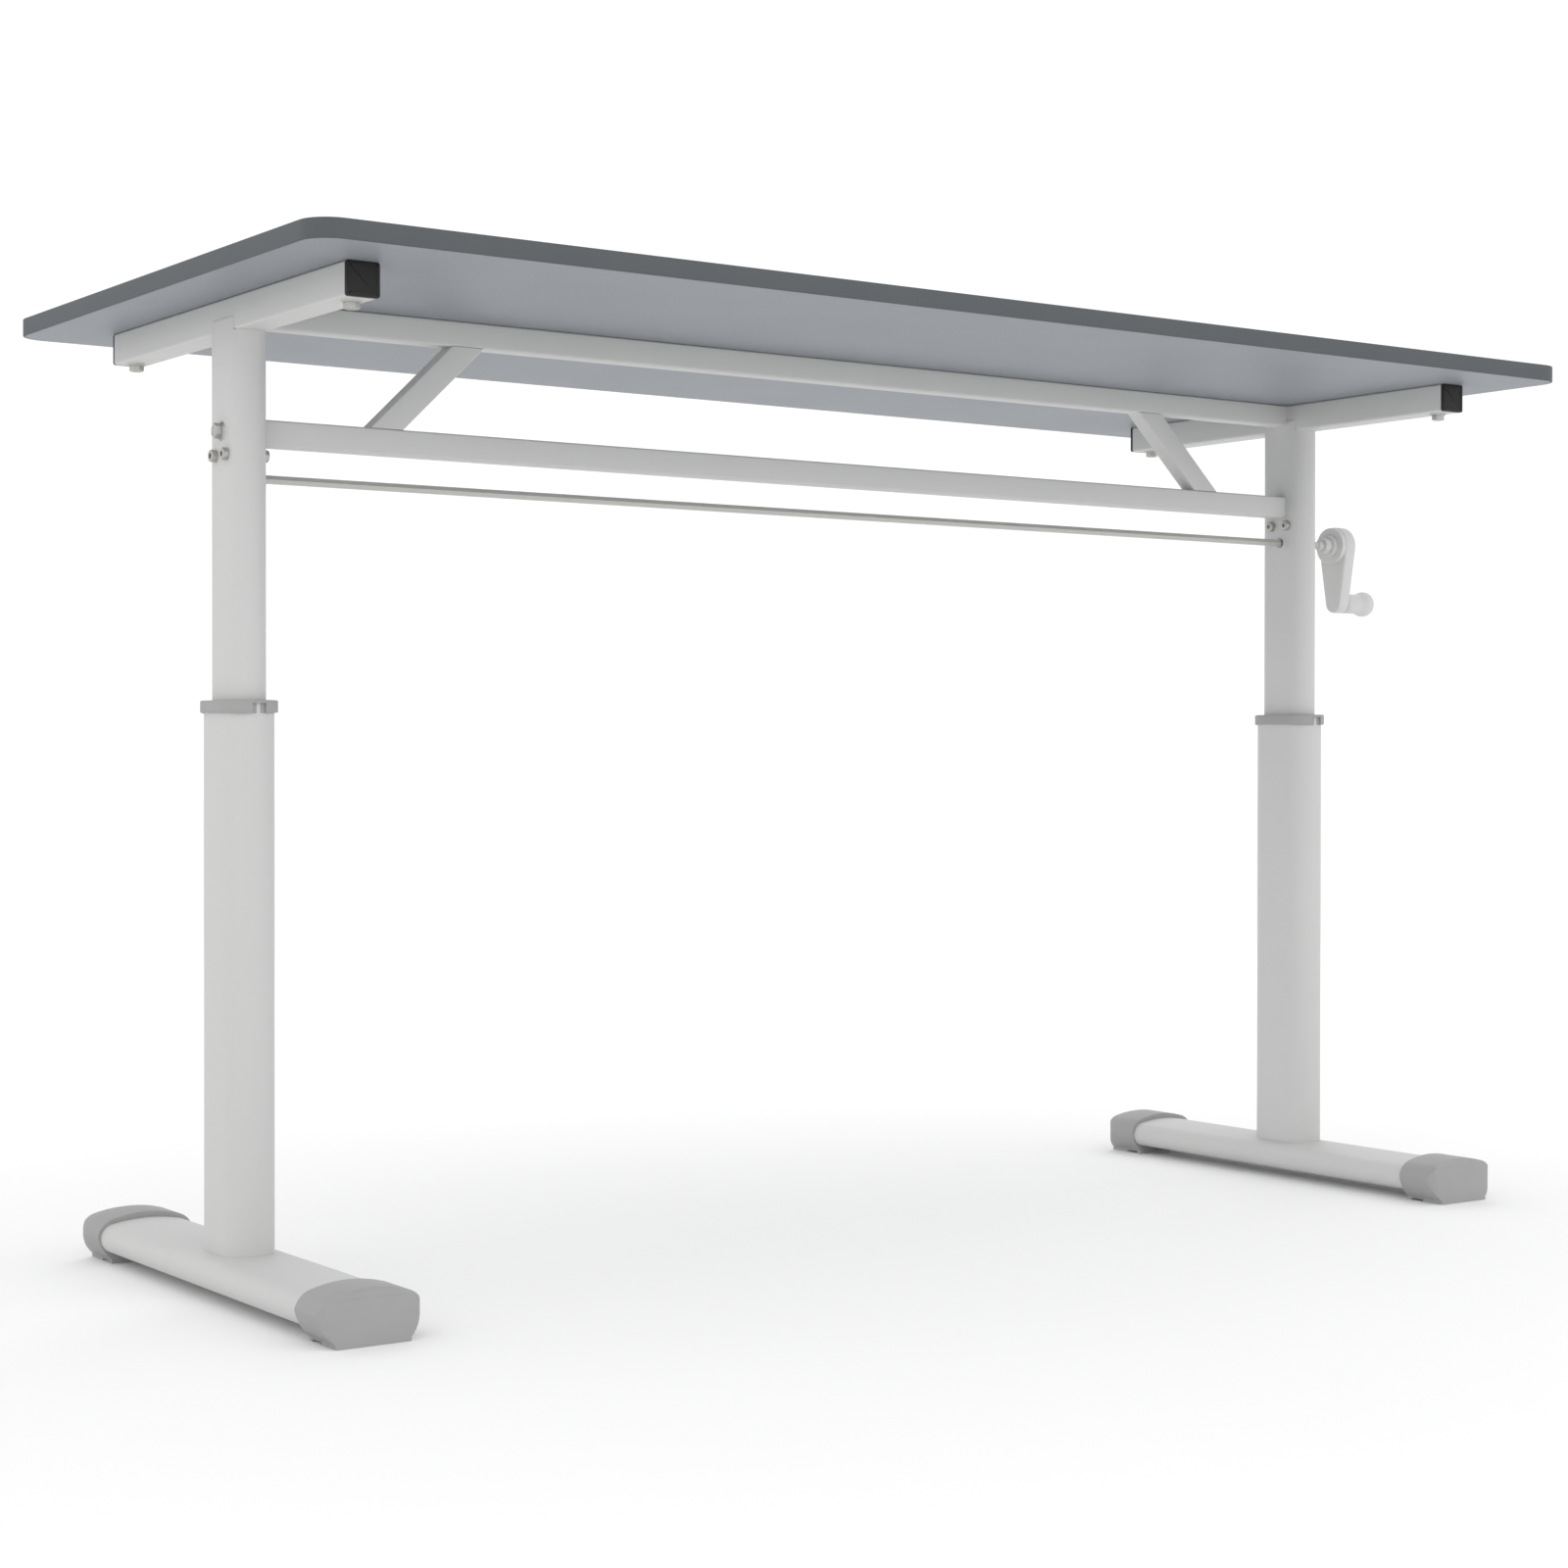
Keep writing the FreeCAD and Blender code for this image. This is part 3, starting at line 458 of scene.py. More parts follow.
def absorb(bm: bmesh.types.BMesh, other: bmesh.types.BMesh) -> None:
    """Add another mesh to this one and free it.

    Args:
        bm: mesh to add to.
        other: mesh to take in.
    """
    spare = bpy.data.meshes.new("spare")
    other.to_mesh(spare)
    other.free()
    bm.from_mesh(spare)
    bpy.data.meshes.remove(spare)


def box_mesh(low: Vector, high: Vector) -> bmesh.types.BMesh:
    """Mesh of a box between two corners.

    Args:
        low: lowest corner.
        high: highest corner.

    Returns:
        The box.
    """
    bm = bmesh.new()
    bmesh.ops.create_cube(bm, size=1.0, matrix=Matrix.Translation((low + high) / 2)
                          @ Matrix.Diagonal((*(high - low), 1.0)))
    return bm


def edges_along(bm: bmesh.types.BMesh, axis: int) -> list[bmesh.types.BMEdge]:
    """Edges of a mesh that run along one axis.

    Args:
        bm: mesh.
        axis: 0, 1 or 2.

    Returns:
        The edges.
    """
    found = []
    for edge in bm.edges:
        run = edge.verts[1].co - edge.verts[0].co
        if abs(run[axis]) > 0.99 * run.length:
            found.append(edge)
    return found


def round_off(bm: bmesh.types.BMesh, edges: list[bmesh.types.BMEdge], radius: float, segments: int) -> None:
    """Round edges off.

    Args:
        bm: mesh.
        edges: edges to round.
        radius: radius in metres.
        segments: how many strips the round has.
    """
    bmesh.ops.bevel(bm, geom=edges, offset=radius, offset_type="OFFSET", segments=segments, profile=0.5,
                    affect="EDGES", material=-1, clamp_overlap=True)


def sharp_edges(bm: bmesh.types.BMesh, angle: float) -> list[bmesh.types.BMEdge]:
    """Edges between two faces that meet at more than angle degrees."""
    limit = math.radians(angle)
    return [e for e in bm.edges if len(e.link_faces) == 2 and e.calc_face_angle(0.0) > limit]


def level_edges(bm: bmesh.types.BMesh) -> list[bmesh.types.BMEdge]:
    """Edges of a mesh that lie level."""
    return [e for e in bm.edges if abs(e.verts[0].co.z - e.verts[1].co.z) < LEVEL]


def tube_mesh(low: Vector, high: Vector, axis: int, radius: float, wall: float) -> bmesh.types.BMesh:
    """Rectangular tube with rolled corners, open at both ends.

    Args:
        low: lowest corner.
        high: highest corner.
        axis: 0 along X or 1 along Y.
        radius: outer corner radius.
        wall: wall thickness.

    Returns:
        The tube with its wall.
    """
    bm = box_mesh(low, high)
    round_off(bm, edges_along(bm, axis), radius, 5)
    ends = [face for face in bm.faces if abs(face.normal[axis]) > 0.9]
    bmesh.ops.delete(bm, geom=ends, context="FACES_ONLY")
    bmesh.ops.recalc_face_normals(bm, faces=bm.faces)
    middle = (low + high) / 2
    probe = bm.faces[:][0]
    if (probe.calc_center_median() - middle).dot(probe.normal) < 0:
        bmesh.ops.reverse_faces(bm, faces=bm.faces)
    bmesh.ops.solidify(bm, geom=bm.faces[:], thickness=wall)
    return bm


def grown(size: tuple[float, float], by: float) -> tuple[float, float]:
    """Size of an oval moved outwards by a distance on every side."""
    return (size[0] + 2 * by, size[1] + 2 * by)


def oval_loop(bm: bmesh.types.BMesh, centre: tuple[float, float], size: tuple[float, float], z: float,
              segments: int = 96) -> list[bmesh.types.BMEdge]:
    """Add one flat-oval ring of edges, long along Y.

    Args:
        bm: mesh to add to.
        centre: middle, X and Y.
        size: width and length.
        z: height.
        segments: points round the ring.

    Returns:
        The ring's edges.
    """
    radius = size[0] / 2
    flat = size[1] / 2 - radius
    made = bmesh.ops.create_circle(bm, segments=segments, radius=radius / math.cos(math.pi / segments),
                                   matrix=Matrix.Rotation(math.pi / segments, 4, "Z"))["verts"]
    for way in (1, -1):
        half = [vert for vert in made if vert.co.y * way > 0]
        bmesh.ops.translate(bm, verts=half, vec=(0, way * flat, 0))
    bmesh.ops.translate(bm, verts=made, vec=(centre[0], centre[1], z))
    return list({edge for vert in made for edge in vert.link_edges})


def join_loops(bm: bmesh.types.BMesh, loops: list[list[bmesh.types.BMEdge]], closed: bool) -> None:
    """Bridge each ring to the next one.

    Args:
        bm: mesh.
        loops: rings of edges in order.
        closed: whether the last ring joins the first.
    """
    pairs = list(zip(loops, loops[1:] + (loops[:1] if closed else [])))
    for one, other in pairs:
        bmesh.ops.bridge_loops(bm, edges=one + other)


def node_copy(name: str) -> bmesh.types.BMesh:
    """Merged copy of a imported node's mesh, its flat areas made single faces.

    Args:
        name: node's name.

    Returns:
        The copy.
    """
    bm = bmesh.new()
    bm.from_mesh(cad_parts[name].data)
    bmesh.ops.remove_doubles(bm, verts=bm.verts, dist=0.002 * MM)
    bmesh.ops.dissolve_limit(bm, angle_limit=math.radians(0.4), verts=bm.verts, edges=bm.edges)
    return bm


def carve(target: bpy.types.Object, cutter: bmesh.types.BMesh) -> None:
    """Cut a mesh out of a piece for good, keeping the piece's crisp edges.

    Args:
        target: piece to cut.
        cutter: closed mesh, freed afterwards.
    """
    bmesh.ops.recalc_face_normals(cutter, faces=cutter.faces)
    mesh = bpy.data.meshes.new("cutter")
    cutter.to_mesh(mesh)
    cutter.free()
    tool = bpy.data.objects.new("cutter", mesh)
    bpy.context.scene.collection.objects.link(tool)
    cut = target.modifiers.new("cut", "BOOLEAN")
    cut.operation = "DIFFERENCE"
    cut.solver = "MANIFOLD"
    cut.object = tool
    ready = target.evaluated_get(bpy.context.evaluated_depsgraph_get())
    result = bpy.data.meshes.new_from_object(ready)
    target.modifiers.clear()
    target.data = result
    bpy.data.objects.remove(tool)
    bm = bmesh.new()
    bm.from_mesh(result)
    close_edges_smooth(bm, CRISP_ANGLE)
    bm.to_mesh(result)
    bm.free()


# ---- Tabletop -----------------------------------------------------------------------------------

@dataclass
class Tabletop:
    """Flecked board with a dark plastic edge band."""

    maker: Maker
    corner: float = 30 * MM
    band: float = 2 * MM
    arris: float = 1.0 * MM
    seam: float = 0.12 * MM
    ease: float = 0.15 * MM

    def outline(self, inset: float, low: float, high: float) -> bmesh.types.BMesh:
        """Rounded slab, inset from the band's outside.

        Args:
            inset: how far inside the outline.
            low: underside.
            high: upper face.

        Returns:
            The slab.
        """
        a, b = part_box("top_edge_band")
        bm = box_mesh(Vector((a.x + inset, a.y + inset, low)), Vector((b.x - inset, b.y - inset, high)))
        round_off(bm, edges_along(bm, 2), self.corner - inset, 20)
        return bm

    def build_board(self) -> None:
        """Board with laminate on both faces, eased at its edges where it meets the band."""
        a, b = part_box("tabletop_board")
        bm = self.outline(self.band + self.seam, a.z, b.z)
        rims = [e for e in level_edges(bm) if e.calc_face_angle(0) > 1.0]
        round_off(bm, rims, self.ease, 1)
        self.maker.piece("board_panel", bm, Look.LAMINATE, "desk_top", ["tabletop_board"], "top_board", 25.0)

    def build_band(self) -> None:
        """Band with both long edges rounded over."""
        a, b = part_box("top_edge_band")
        bm = self.outline(0.0, a.z, b.z)
        flats = [face for face in bm.faces if abs(face.normal.z) > 0.9]
        bmesh.ops.delete(bm, geom=flats, context="FACES_ONLY")
        bmesh.ops.recalc_face_normals(bm, faces=bm.faces)
        probe = max(bm.faces, key=lambda face: face.calc_center_median().x)
        if probe.normal.x < 0:
            bmesh.ops.reverse_faces(bm, faces=bm.faces)
        bmesh.ops.solidify(bm, geom=bm.faces[:], thickness=self.band)
        rims = [e for e in level_edges(bm) if self.outer(e, a, b)]
        round_off(bm, rims, self.arris, 4)
        self.maker.piece("edge_banding", bm, Look.BAND, "desk_top", ["top_edge_band"], "edge_plastic")

    def outer(self, edge: bmesh.types.BMEdge, low: Vector, high: Vector) -> bool:
        """Whether an edge lies on the band's outside.

        Args:
            edge: edge of the band.
            low: band's lowest corner.
            high: band's highest corner.

        Returns:
            True when both ends lie nearer the outside than half the band.
        """
        near = self.band / 2
        for vert in edge.verts:
            x = max(low.x + self.corner - vert.co.x, vert.co.x - high.x + self.corner, 0.0)
            y = max(low.y + self.corner - vert.co.y, vert.co.y - high.y + self.corner, 0.0)
            if self.corner - math.hypot(x, y) > near:
                return False
        return True

    def build(self) -> None:
        """Make the board and its band."""
        self.build_board()
        self.build_band()


# ---- Frame under the top ------------------------------------------------------------------------

@dataclass(frozen=True)
class Bolt:
    """Sizes of a flanged hexagon bolt: flat to flat, across the flange, and the shank."""

    flats: float
    flange: float
    shank: float
    head: float = 6 * MM
    seat: float = 2 * MM
    reach: float = 30 * MM
    crown: float = 1.1 * MM
    rim: float = 0.8 * MM
    dish: float = 0.5 * MM
    slope: float = 1.2 * MM

    def height(self) -> float:
        """Height of the head with its flange."""
        return self.head + self.seat


BEAM_BOLT = Bolt(13 * MM, 20 * MM, 8 * MM)
LEG_BOLT = Bolt(13 * MM, 18.5 * MM, 8 * MM)


@dataclass
class UnderFrame:
    """Beams, rails, braces, plugs and their bolts."""

    maker: Maker
    corner: float = 2.6 * MM
    wall: float = 2.0 * MM
    brace_run: float = 91 * MM
    plug_rim: float = 0.8 * MM
    plug_border: float = 3 * MM
    dish_edge: float = 0.6 * MM
    dish_depth: float = 0.4 * MM

    def build_tube(self, node: str, axis: int) -> None:
        """Rectangular tube in a node's place.

        Args:
            node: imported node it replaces.
            axis: 0 along X or 1 along Y.
        """
        low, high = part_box(node)
        bm = tube_mesh(low, high, axis, self.corner, self.wall)
        self.maker.piece(node + "_tube", bm, Look.FRAME, "desk_top", [node], "frame_paint")

    def build_brace(self, side: str) -> None:
        """Leaning tube whose ends are cut level.

        Args:
            side: left or right.
        """
        low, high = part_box("brace_" + side)
        lean = -self.brace_run if side == "right" else self.brace_run
        straight = (high.x - low.x) - self.brace_run
        middle = (low + high) / 2
        half = Vector((straight / 2, (high.y - low.y) / 2, (high.z - low.z) / 2))
        bm = tube_mesh(-half, half, 2, self.corner, self.wall)
        skew = Matrix.Identity(4)
        skew[0][2] = lean / (high.z - low.z)
        bmesh.ops.transform(bm, matrix=Matrix.Translation(middle) @ skew, verts=bm.verts)
        name = "brace_" + side
        self.maker.piece(name + "_tube", bm, Look.FRAME, "desk_top", [name], "frame_paint")

    def build_plug(self, node: str) -> None:
        """Black end plug with a rounded rim and a shallow dished face.

        Args:
            node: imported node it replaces.
        """
        low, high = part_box(node)
        front = "front" in node
        beam_low, beam_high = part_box("cross_beam_" + node.rsplit("_", 1)[1])
        flange = beam_low.y - low.y if front else high.y - beam_high.y
        near = Vector((low.x, low.y if front else high.y - flange, low.z))
        far = Vector((high.x, low.y + flange if front else high.y, high.z))
        bm = box_mesh(near, far)
        round_off(bm, edges_along(bm, 1), self.corner, 4)
        way = -1 if front else 1
        faces = [face for face in bm.faces if face.normal.y * way > 0.9]
        rim = list({edge for face in faces for edge in face.edges})
        round_off(bm, rim, self.plug_rim, 3)
        face = max((f for f in bm.faces if f.normal.y * way > 0.9), key=lambda f: f.calc_area())
        bmesh.ops.inset_region(bm, faces=[face], thickness=self.plug_border, depth=0.0)
        bmesh.ops.inset_region(bm, faces=[face], thickness=self.dish_edge, depth=-self.dish_depth)
        start = low.y + flange if front else low.y
        end = high.y if front else high.y - flange
        absorb(bm, box_mesh(Vector((low.x + self.wall, start, low.z + self.wall)),
                            Vector((high.x - self.wall, end, high.z - self.wall))))
        self.maker.piece(node + "_moulding", bm, Look.PLUG, "desk_top", [node], "black_plastic")

    def add_bolt(self, bm: bmesh.types.BMesh, bolt: Bolt, seat: Vector, way: Vector) -> None:
        """Add a hexagon bolt with a flange.

        Args:
            bm: mesh to add to.
            bolt: its sizes.
            seat: middle of the flange's seat.
            way: direction from the seat to the head.
        """
        fresh = bmesh.new()
        corner = bolt.flats / math.sqrt(3)
        bmesh.ops.create_cone(fresh, cap_ends=True, segments=6, radius1=corner, radius2=corner,
                              depth=bolt.head)
        top = [e for e in fresh.edges if min(v.co.z for v in e.verts) > 0]
        round_off(fresh, top, bolt.crown, 3)
        face = max(fresh.faces, key=lambda f: f.calc_center_median().z)
        bmesh.ops.inset_region(fresh, faces=[face], thickness=bolt.rim, depth=0.0)
        bmesh.ops.inset_region(fresh, faces=[face], thickness=bolt.dish, depth=-bolt.dish)
        bmesh.ops.translate(fresh, verts=fresh.verts, vec=(0, 0, bolt.head / 2 + bolt.seat))
        rounds = ((40, bolt.flange / 2, bolt.flange / 2 - bolt.slope, bolt.seat, bolt.seat / 2),
                  (24, bolt.shank / 2, bolt.shank / 2, bolt.reach, -bolt.reach / 2))
        for segments, low, high, depth, middle in rounds:
            bmesh.ops.create_cone(fresh, cap_ends=True, segments=segments, radius1=low, radius2=high,
                                  depth=depth, matrix=Matrix.Translation((0, 0, middle)))
        turn = way.to_track_quat("Z", "Y").to_matrix().to_4x4()
        bmesh.ops.transform(fresh, matrix=Matrix.Translation(seat) @ turn, verts=fresh.verts)
        absorb(bm, fresh)

    def build_bolts(self) -> None:
        """Four bolts under the beams and one on the outside of each leg."""
        low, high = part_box("top_bolts")
        seat_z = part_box("cross_beam_left")[0].z
        bm = bmesh.new()
        for side in ("left", "right"):
            a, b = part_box("cross_beam_" + side)
            for y in (low.y + BEAM_BOLT.flange / 2, high.y - BEAM_BOLT.flange / 2):
                self.add_bolt(bm, BEAM_BOLT, Vector(((a.x + b.x) / 2, y, seat_z)), Vector((0, 0, -1)))
        self.maker.piece("beam_bolts", bm, Look.ZINC, "desk_top", ["top_bolts"], "steel")
        low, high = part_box("rail_bolts")
        middle = (low + high) / 2
        head = LEG_BOLT.height()
        bm = bmesh.new()
        for x, way in ((low.x + head, -1), (high.x - head, 1)):
            self.add_bolt(bm, LEG_BOLT, Vector((x, middle.y, middle.z)), Vector((way, 0, 0)))
        self.maker.piece("leg_bolts", bm, Look.ZINC, "desk_top", ["rail_bolts"], "steel")

    def build(self) -> None:
        """Make every piece of the frame under the top."""
        for node, axis in (("cross_beam_left", 1), ("cross_beam_right", 1), ("top_rail", 0),
                           ("lower_rail", 0)):
            self.build_tube(node, axis)
        for side in ("left", "right"):
            self.build_brace(side)
            for end in ("front", "back"):
                self.build_plug(f"beam_plug_{end}_{side}")
        self.build_bolts()


# ---- Legs and feet ------------------------------------------------------------------------------

@dataclass
class Leg:
    """One telescoping leg with its foot."""

    maker: Maker
    side: str
    cap_edge: float = 1.6 * MM
    glide: float = 0.35 * MM
    collar_height: float = 13 * MM
    collar_lip: float = 3 * MM
    sleeve_wall: float = 2 * MM
    fit: float = 0.04 * MM
    # Bridging pairs the wrong points of two rings that lie at one height, so one is moved by this much.
    step: float = 0.05 * MM
    liner: float = 45 * MM
    window: float = 14 * MM
    window_margin: float = 2 * MM
    wave: float = 1.6 * MM
    screw_head: float = 12 * MM
    screw_height: float = 6 * MM
    screw_points: int = 48
    socket_flats: float = 5 * MM
    socket_depth: float = 2.6 * MM

    def base(self) -> str:
        """Body of the half that stands on the floor."""
        return "base_" + self.side

    def refine(self, node: str, look: Look, body: str, slot: str, edge: float = 0.0) -> None:
        """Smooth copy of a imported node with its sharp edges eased.

        Args:
            node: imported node.
            look: finish.
            body: body it moves with.
            slot: the record's material slot.
            edge: how far sharp edges are rounded, or 0.
        """
        bm = node_copy(node)
        if edge:
            round_off(bm, sharp_edges(bm, 28.0), edge, 3)
        self.maker.piece(node + "_skin", bm, look, body, [node], slot, 30.0, turn_out=False)

    def build_collar(self) -> None:
        """Plastic guide with a rounded rim, a lower edge that waves, and an open window in front."""
        name = "glide_collar_" + self.side
        low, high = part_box(name)
        inner_low, inner_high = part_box("upper_column_" + self.side)
        sleeve_low, sleeve_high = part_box("lower_column_" + self.side)
        centre = ((low.x + high.x) / 2, (low.y + high.y) / 2)
        outer = (high.x - low.x, high.y - low.y)
        column = (inner_high.x - inner_low.x, inner_high.y - inner_low.y)
        sleeve = (sleeve_high.x - sleeve_low.x, outer[1] - (outer[0] - (sleeve_high.x - sleeve_low.x)))
        top = high.z
        bottom = top - self.collar_height
        # Rings up the bore, over the rim, down the outside, then up the sleeve's outside and down its
        # inside, which leaves a slot that the sleeve's end stands in.
        rows = [
            (grown(column, self.glide), top - self.liner),
            (grown(column, self.glide), top - 0.8 * MM),
            (grown(column, self.glide + 0.8 * MM), top),
            (grown(outer, -1.4 * MM), top - self.step),
            (grown(outer, -0.6 * MM), top - 0.25 * MM),
            (grown(outer, -0.15 * MM), top - 0.8 * MM),
            (outer, top - 1.6 * MM),
            (outer, bottom + 1.0 * MM),
            (grown(outer, -0.3 * MM), bottom + 0.3 * MM),
            (grown(outer, -1.0 * MM), bottom),
            (grown(sleeve, self.fit), bottom + self.step),
            (grown(sleeve, self.fit), top - self.collar_lip),
            (grown(sleeve, -self.sleeve_wall - self.fit), top - self.collar_lip - self.step),
            (grown(sleeve, -self.sleeve_wall - self.fit), top - self.liner + self.step),
        ]
        bm = bmesh.new()
        loops = [oval_loop(bm, centre, size, z) for size, z in rows]
        join_loops(bm, loops, closed=True)
        for vert in bm.verts:
            if bottom - 1 * MM < vert.co.z < bottom + 1.2 * MM:
                around = math.atan2(vert.co.x - centre[0], centre[1] - vert.co.y)
                vert.co.z += self.wave * (0.5 - 0.5 * math.cos(2 * around + 0.5))
        made = self.maker.piece(name + "_moulding", bm, Look.CAPS, self.base(), [name], "grey_plastic")
        half = self.window / 2
        depth = (outer[0] - sleeve[0]) / 2
        low_cut = Vector((centre[0] - half, low.y - self.window_margin, bottom - self.window_margin))
        high_cut = Vector((centre[0] + half, low.y + depth + 0.02 * MM, top - self.collar_lip))
        carve(made, box_mesh(low_cut, high_cut))

    def add_screw(self, bm: bmesh.types.BMesh, seat: Vector, way: float) -> None:
        """Add a socket head screw, its hexagon hole open.

        Args:
            bm: mesh to add to.
            seat: middle of the head's seat.
            way: 1 for a head towards +X, -1 for one towards -X.
        """
        radius = self.screw_head / 2
        height = self.screw_height
        start = len(bm.verts)
        rows = [(radius, 0.0), (radius, height - 0.8 * MM), (radius - 0.25 * MM, height - 0.25 * MM),
                (radius - 0.8 * MM, height)]
        loops = []
        for size, z in rows:
            verts = bmesh.ops.create_circle(bm, segments=self.screw_points, radius=size,
                                            matrix=Matrix.Translation((0, 0, z)))["verts"]
            loops.append(list({e for v in verts for e in v.link_edges}))
        corner = self.socket_flats / math.sqrt(3)
        for z in (height - self.step, height - self.socket_depth):
            verts = bmesh.ops.create_circle(bm, segments=6, radius=corner,
                                            matrix=Matrix.Translation((0, 0, z)))["verts"]
            edges = list({e for v in verts for e in v.link_edges})
            split = bmesh.ops.subdivide_edges(bm, edges=edges, cuts=self.screw_points // 6 - 1)
            loops.append([g for g in split["geom_inner"] + split["geom_split"]
                          if isinstance(g, bmesh.types.BMEdge)])
        bm.verts.ensure_lookup_table()
        loops = [list(set(loop)) for loop in loops]
        join_loops(bm, loops, closed=False)
        bmesh.ops.contextual_create(bm, geom=loops[0])
        bmesh.ops.contextual_create(bm, geom=loops[-1])
        bm.verts.ensure_lookup_table()
        fresh = bm.verts[start:]
        turn = Vector((way, 0, 0)).to_track_quat("Z", "Y").to_matrix().to_4x4()
        bmesh.ops.transform(bm, matrix=Matrix.Translation(seat) @ turn, verts=fresh)

    def build_screws(self) -> None:
        """Two screws on each side of the leg that hold the gearbox."""
        name = "gearbox_screws_" + self.side
        low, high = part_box(name)
        half = self.screw_head / 2
        bm = bmesh.new()
        for x, way in ((low.x + self.screw_height, -1.0), (high.x - self.screw_height, 1.0)):
            for y in (low.y + half, high.y - half):
                self.add_screw(bm, Vector((x, y, (low.z + high.z) / 2)), way)
        self.maker.piece(name + "_heads", bm, Look.ZINC, "desk_top", [name], "steel")

    def build(self) -> None:
        """Make the whole leg."""
        for node in ("foot_tube", "lower_column"):
            self.refine(f"{node}_{self.side}", Look.FRAME, self.base(), "frame_paint")
        self.refine("upper_column_" + self.side, Look.FRAME, "desk_top", "frame_paint")
        for end in ("front", "back"):
            self.refine(f"foot_cap_{end}_{self.side}", Look.CAPS, self.base(), "grey_plastic", self.cap_edge)
        self.build_collar()
        self.build_screws()


# ---- Crank --------------------------------------------------------------------------------------

@dataclass
class Crank:
    """Hand crank: tapered arm, stepped boss and a flared grip."""

    maker: Maker
    hub: float = 24 * MM
    end: float = 12.5 * MM
    thickness: float = 17.5 * MM
    edge: float = 2.4 * MM
    # Length and radius of each step of the boss, from the leg to the arm.
    boss: tuple[tuple[float, float], ...] = (
        (6.8 * MM, 5.4 * MM), (9.2 * MM, 10 * MM), (5.5 * MM, 14.3 * MM), (5.5 * MM, 23 * MM))
    boss_overlap: float = 1.2 * MM
    boss_edge: float = 0.8 * MM
    neck: float = 12.4 * MM
    neck_edge: float = 0.8 * MM
    swell: float = 15.8 * MM
    tip: float = 11 * MM
    bore: float = 4.3 * MM
    recess_depth: float = 5 * MM
    axis: Vector = field(default_factory=Vector)

    def disc(self, bm: bmesh.types.BMesh, start: float, length: float, radius: float, z: float,
             segments: int = 64) -> list[bmesh.types.BMVert]:
        """Add a round disc along X.

        Args:
            bm: mesh to add to.
            start: X where it starts.
            length: length along X.
            radius: radius.
            z: height of its axis.
            segments: points round it.

        Returns:
            Its points.
        """
        middle = Matrix.Translation((start + length / 2, self.axis.y, z))
        place = middle @ Matrix.Rotation(math.pi / 2, 4, "Y")
        return bmesh.ops.create_cone(bm, cap_ends=True, segments=segments, radius1=radius, radius2=radius,
                                     depth=length, matrix=place)["verts"]

    def build_arm(self) -> None:
        """Arm with rounded edges, a raised hub and the stepped boss."""
        low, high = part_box("crank_arm")
        face = high.x - self.thickness
        grip_z = low.z + self.end
        bm = bmesh.new()
        ends = self.disc(bm, face, self.thickness, self.hub, self.axis.z)
        ends += self.disc(bm, face, self.thickness, self.end, grip_z)
        bmesh.ops.delete(bm, geom=bm.edges[:] + bm.faces[:], context="EDGES_FACES")
        bmesh.ops.convex_hull(bm, input=ends)
        bmesh.ops.delete(bm, geom=[v for v in bm.verts if not v.link_faces], context="VERTS")
        bmesh.ops.dissolve_limit(bm, angle_limit=math.radians(0.5), verts=bm.verts, edges=bm.edges)
        round_off(bm, sharp_edges(bm, 40.0), self.edge, 4)
        x = face - sum(length for length, _ in self.boss)
        for length, radius in self.boss:
            step = bmesh.new()
            self.disc(step, x, length + self.boss_overlap, radius, self.axis.z)
            round_off(step, sharp_edges(step, 40.0), self.boss_edge, 3)
            absorb(bm, step)
            x += length
        self.maker.piece("crank_arm_moulding", bm, Look.CRANK, "crank", ["crank_arm"], "crank_plastic")

    def build_grip(self) -> None:
        """Grip turned from a straight neck that flares into a rounded knob."""
        low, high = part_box("crank_grip")
        length = high.x - low.x
        middle = Vector((low.x, self.axis.y, (low.z + high.z) / 2))
        bore = self.bore
        profile = [(0.0, bore), (0.0, self.neck - self.neck_edge), (self.neck_edge, self.neck)]
        # The neck is straight to 0.48 of the length, then swells to 0.76, where the round end starts.
        for share in (0.25, 0.48, 0.52, 0.56, 0.6, 0.64, 0.68, 0.72, 0.76):
            rise = 0.5 - 0.5 * math.cos(math.pi * max(0.0, (share - 0.48)) / 0.28)
            profile.append((length * share, self.neck + (self.swell - self.neck) * rise))
        for turn in (15, 30, 45, 60, 75, 90):
            a = math.radians(turn)
            profile.append((length * (0.78 + 0.22 * math.sin(a)),
                            self.tip - 2 * MM + (self.swell - self.tip + 2 * MM) * math.cos(a)))
        profile.append((length, bore + 3 * MM))
        profile += [(length - self.recess_depth, bore + 2.8 * MM), (length - self.recess_depth, bore)]
        bm = bmesh.new()
        points = [bm.verts.new(middle + Vector((along, 0, radius))) for along, radius in profile]
        edges = [bm.edges.new(pair) for pair in zip(points, points[1:] + points[:1])]
        bmesh.ops.spin(bm, geom=points + edges, cent=middle, axis=(1, 0, 0), dvec=(0, 0, 0),
                       angle=2 * math.pi, steps=64, use_merge=True, use_duplicate=False)
        bmesh.ops.remove_doubles(bm, verts=bm.verts, dist=0.005 * MM)
        self.maker.piece("crank_grip_moulding", bm, Look.CRANK, "grip", ["crank_grip"], "crank_plastic", 50.0)

    def build(self) -> None:
        """Make the arm and the grip."""
        low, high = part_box("cross_shaft")
        self.axis = (low + high) / 2
        self.build_arm()
        self.build_grip()


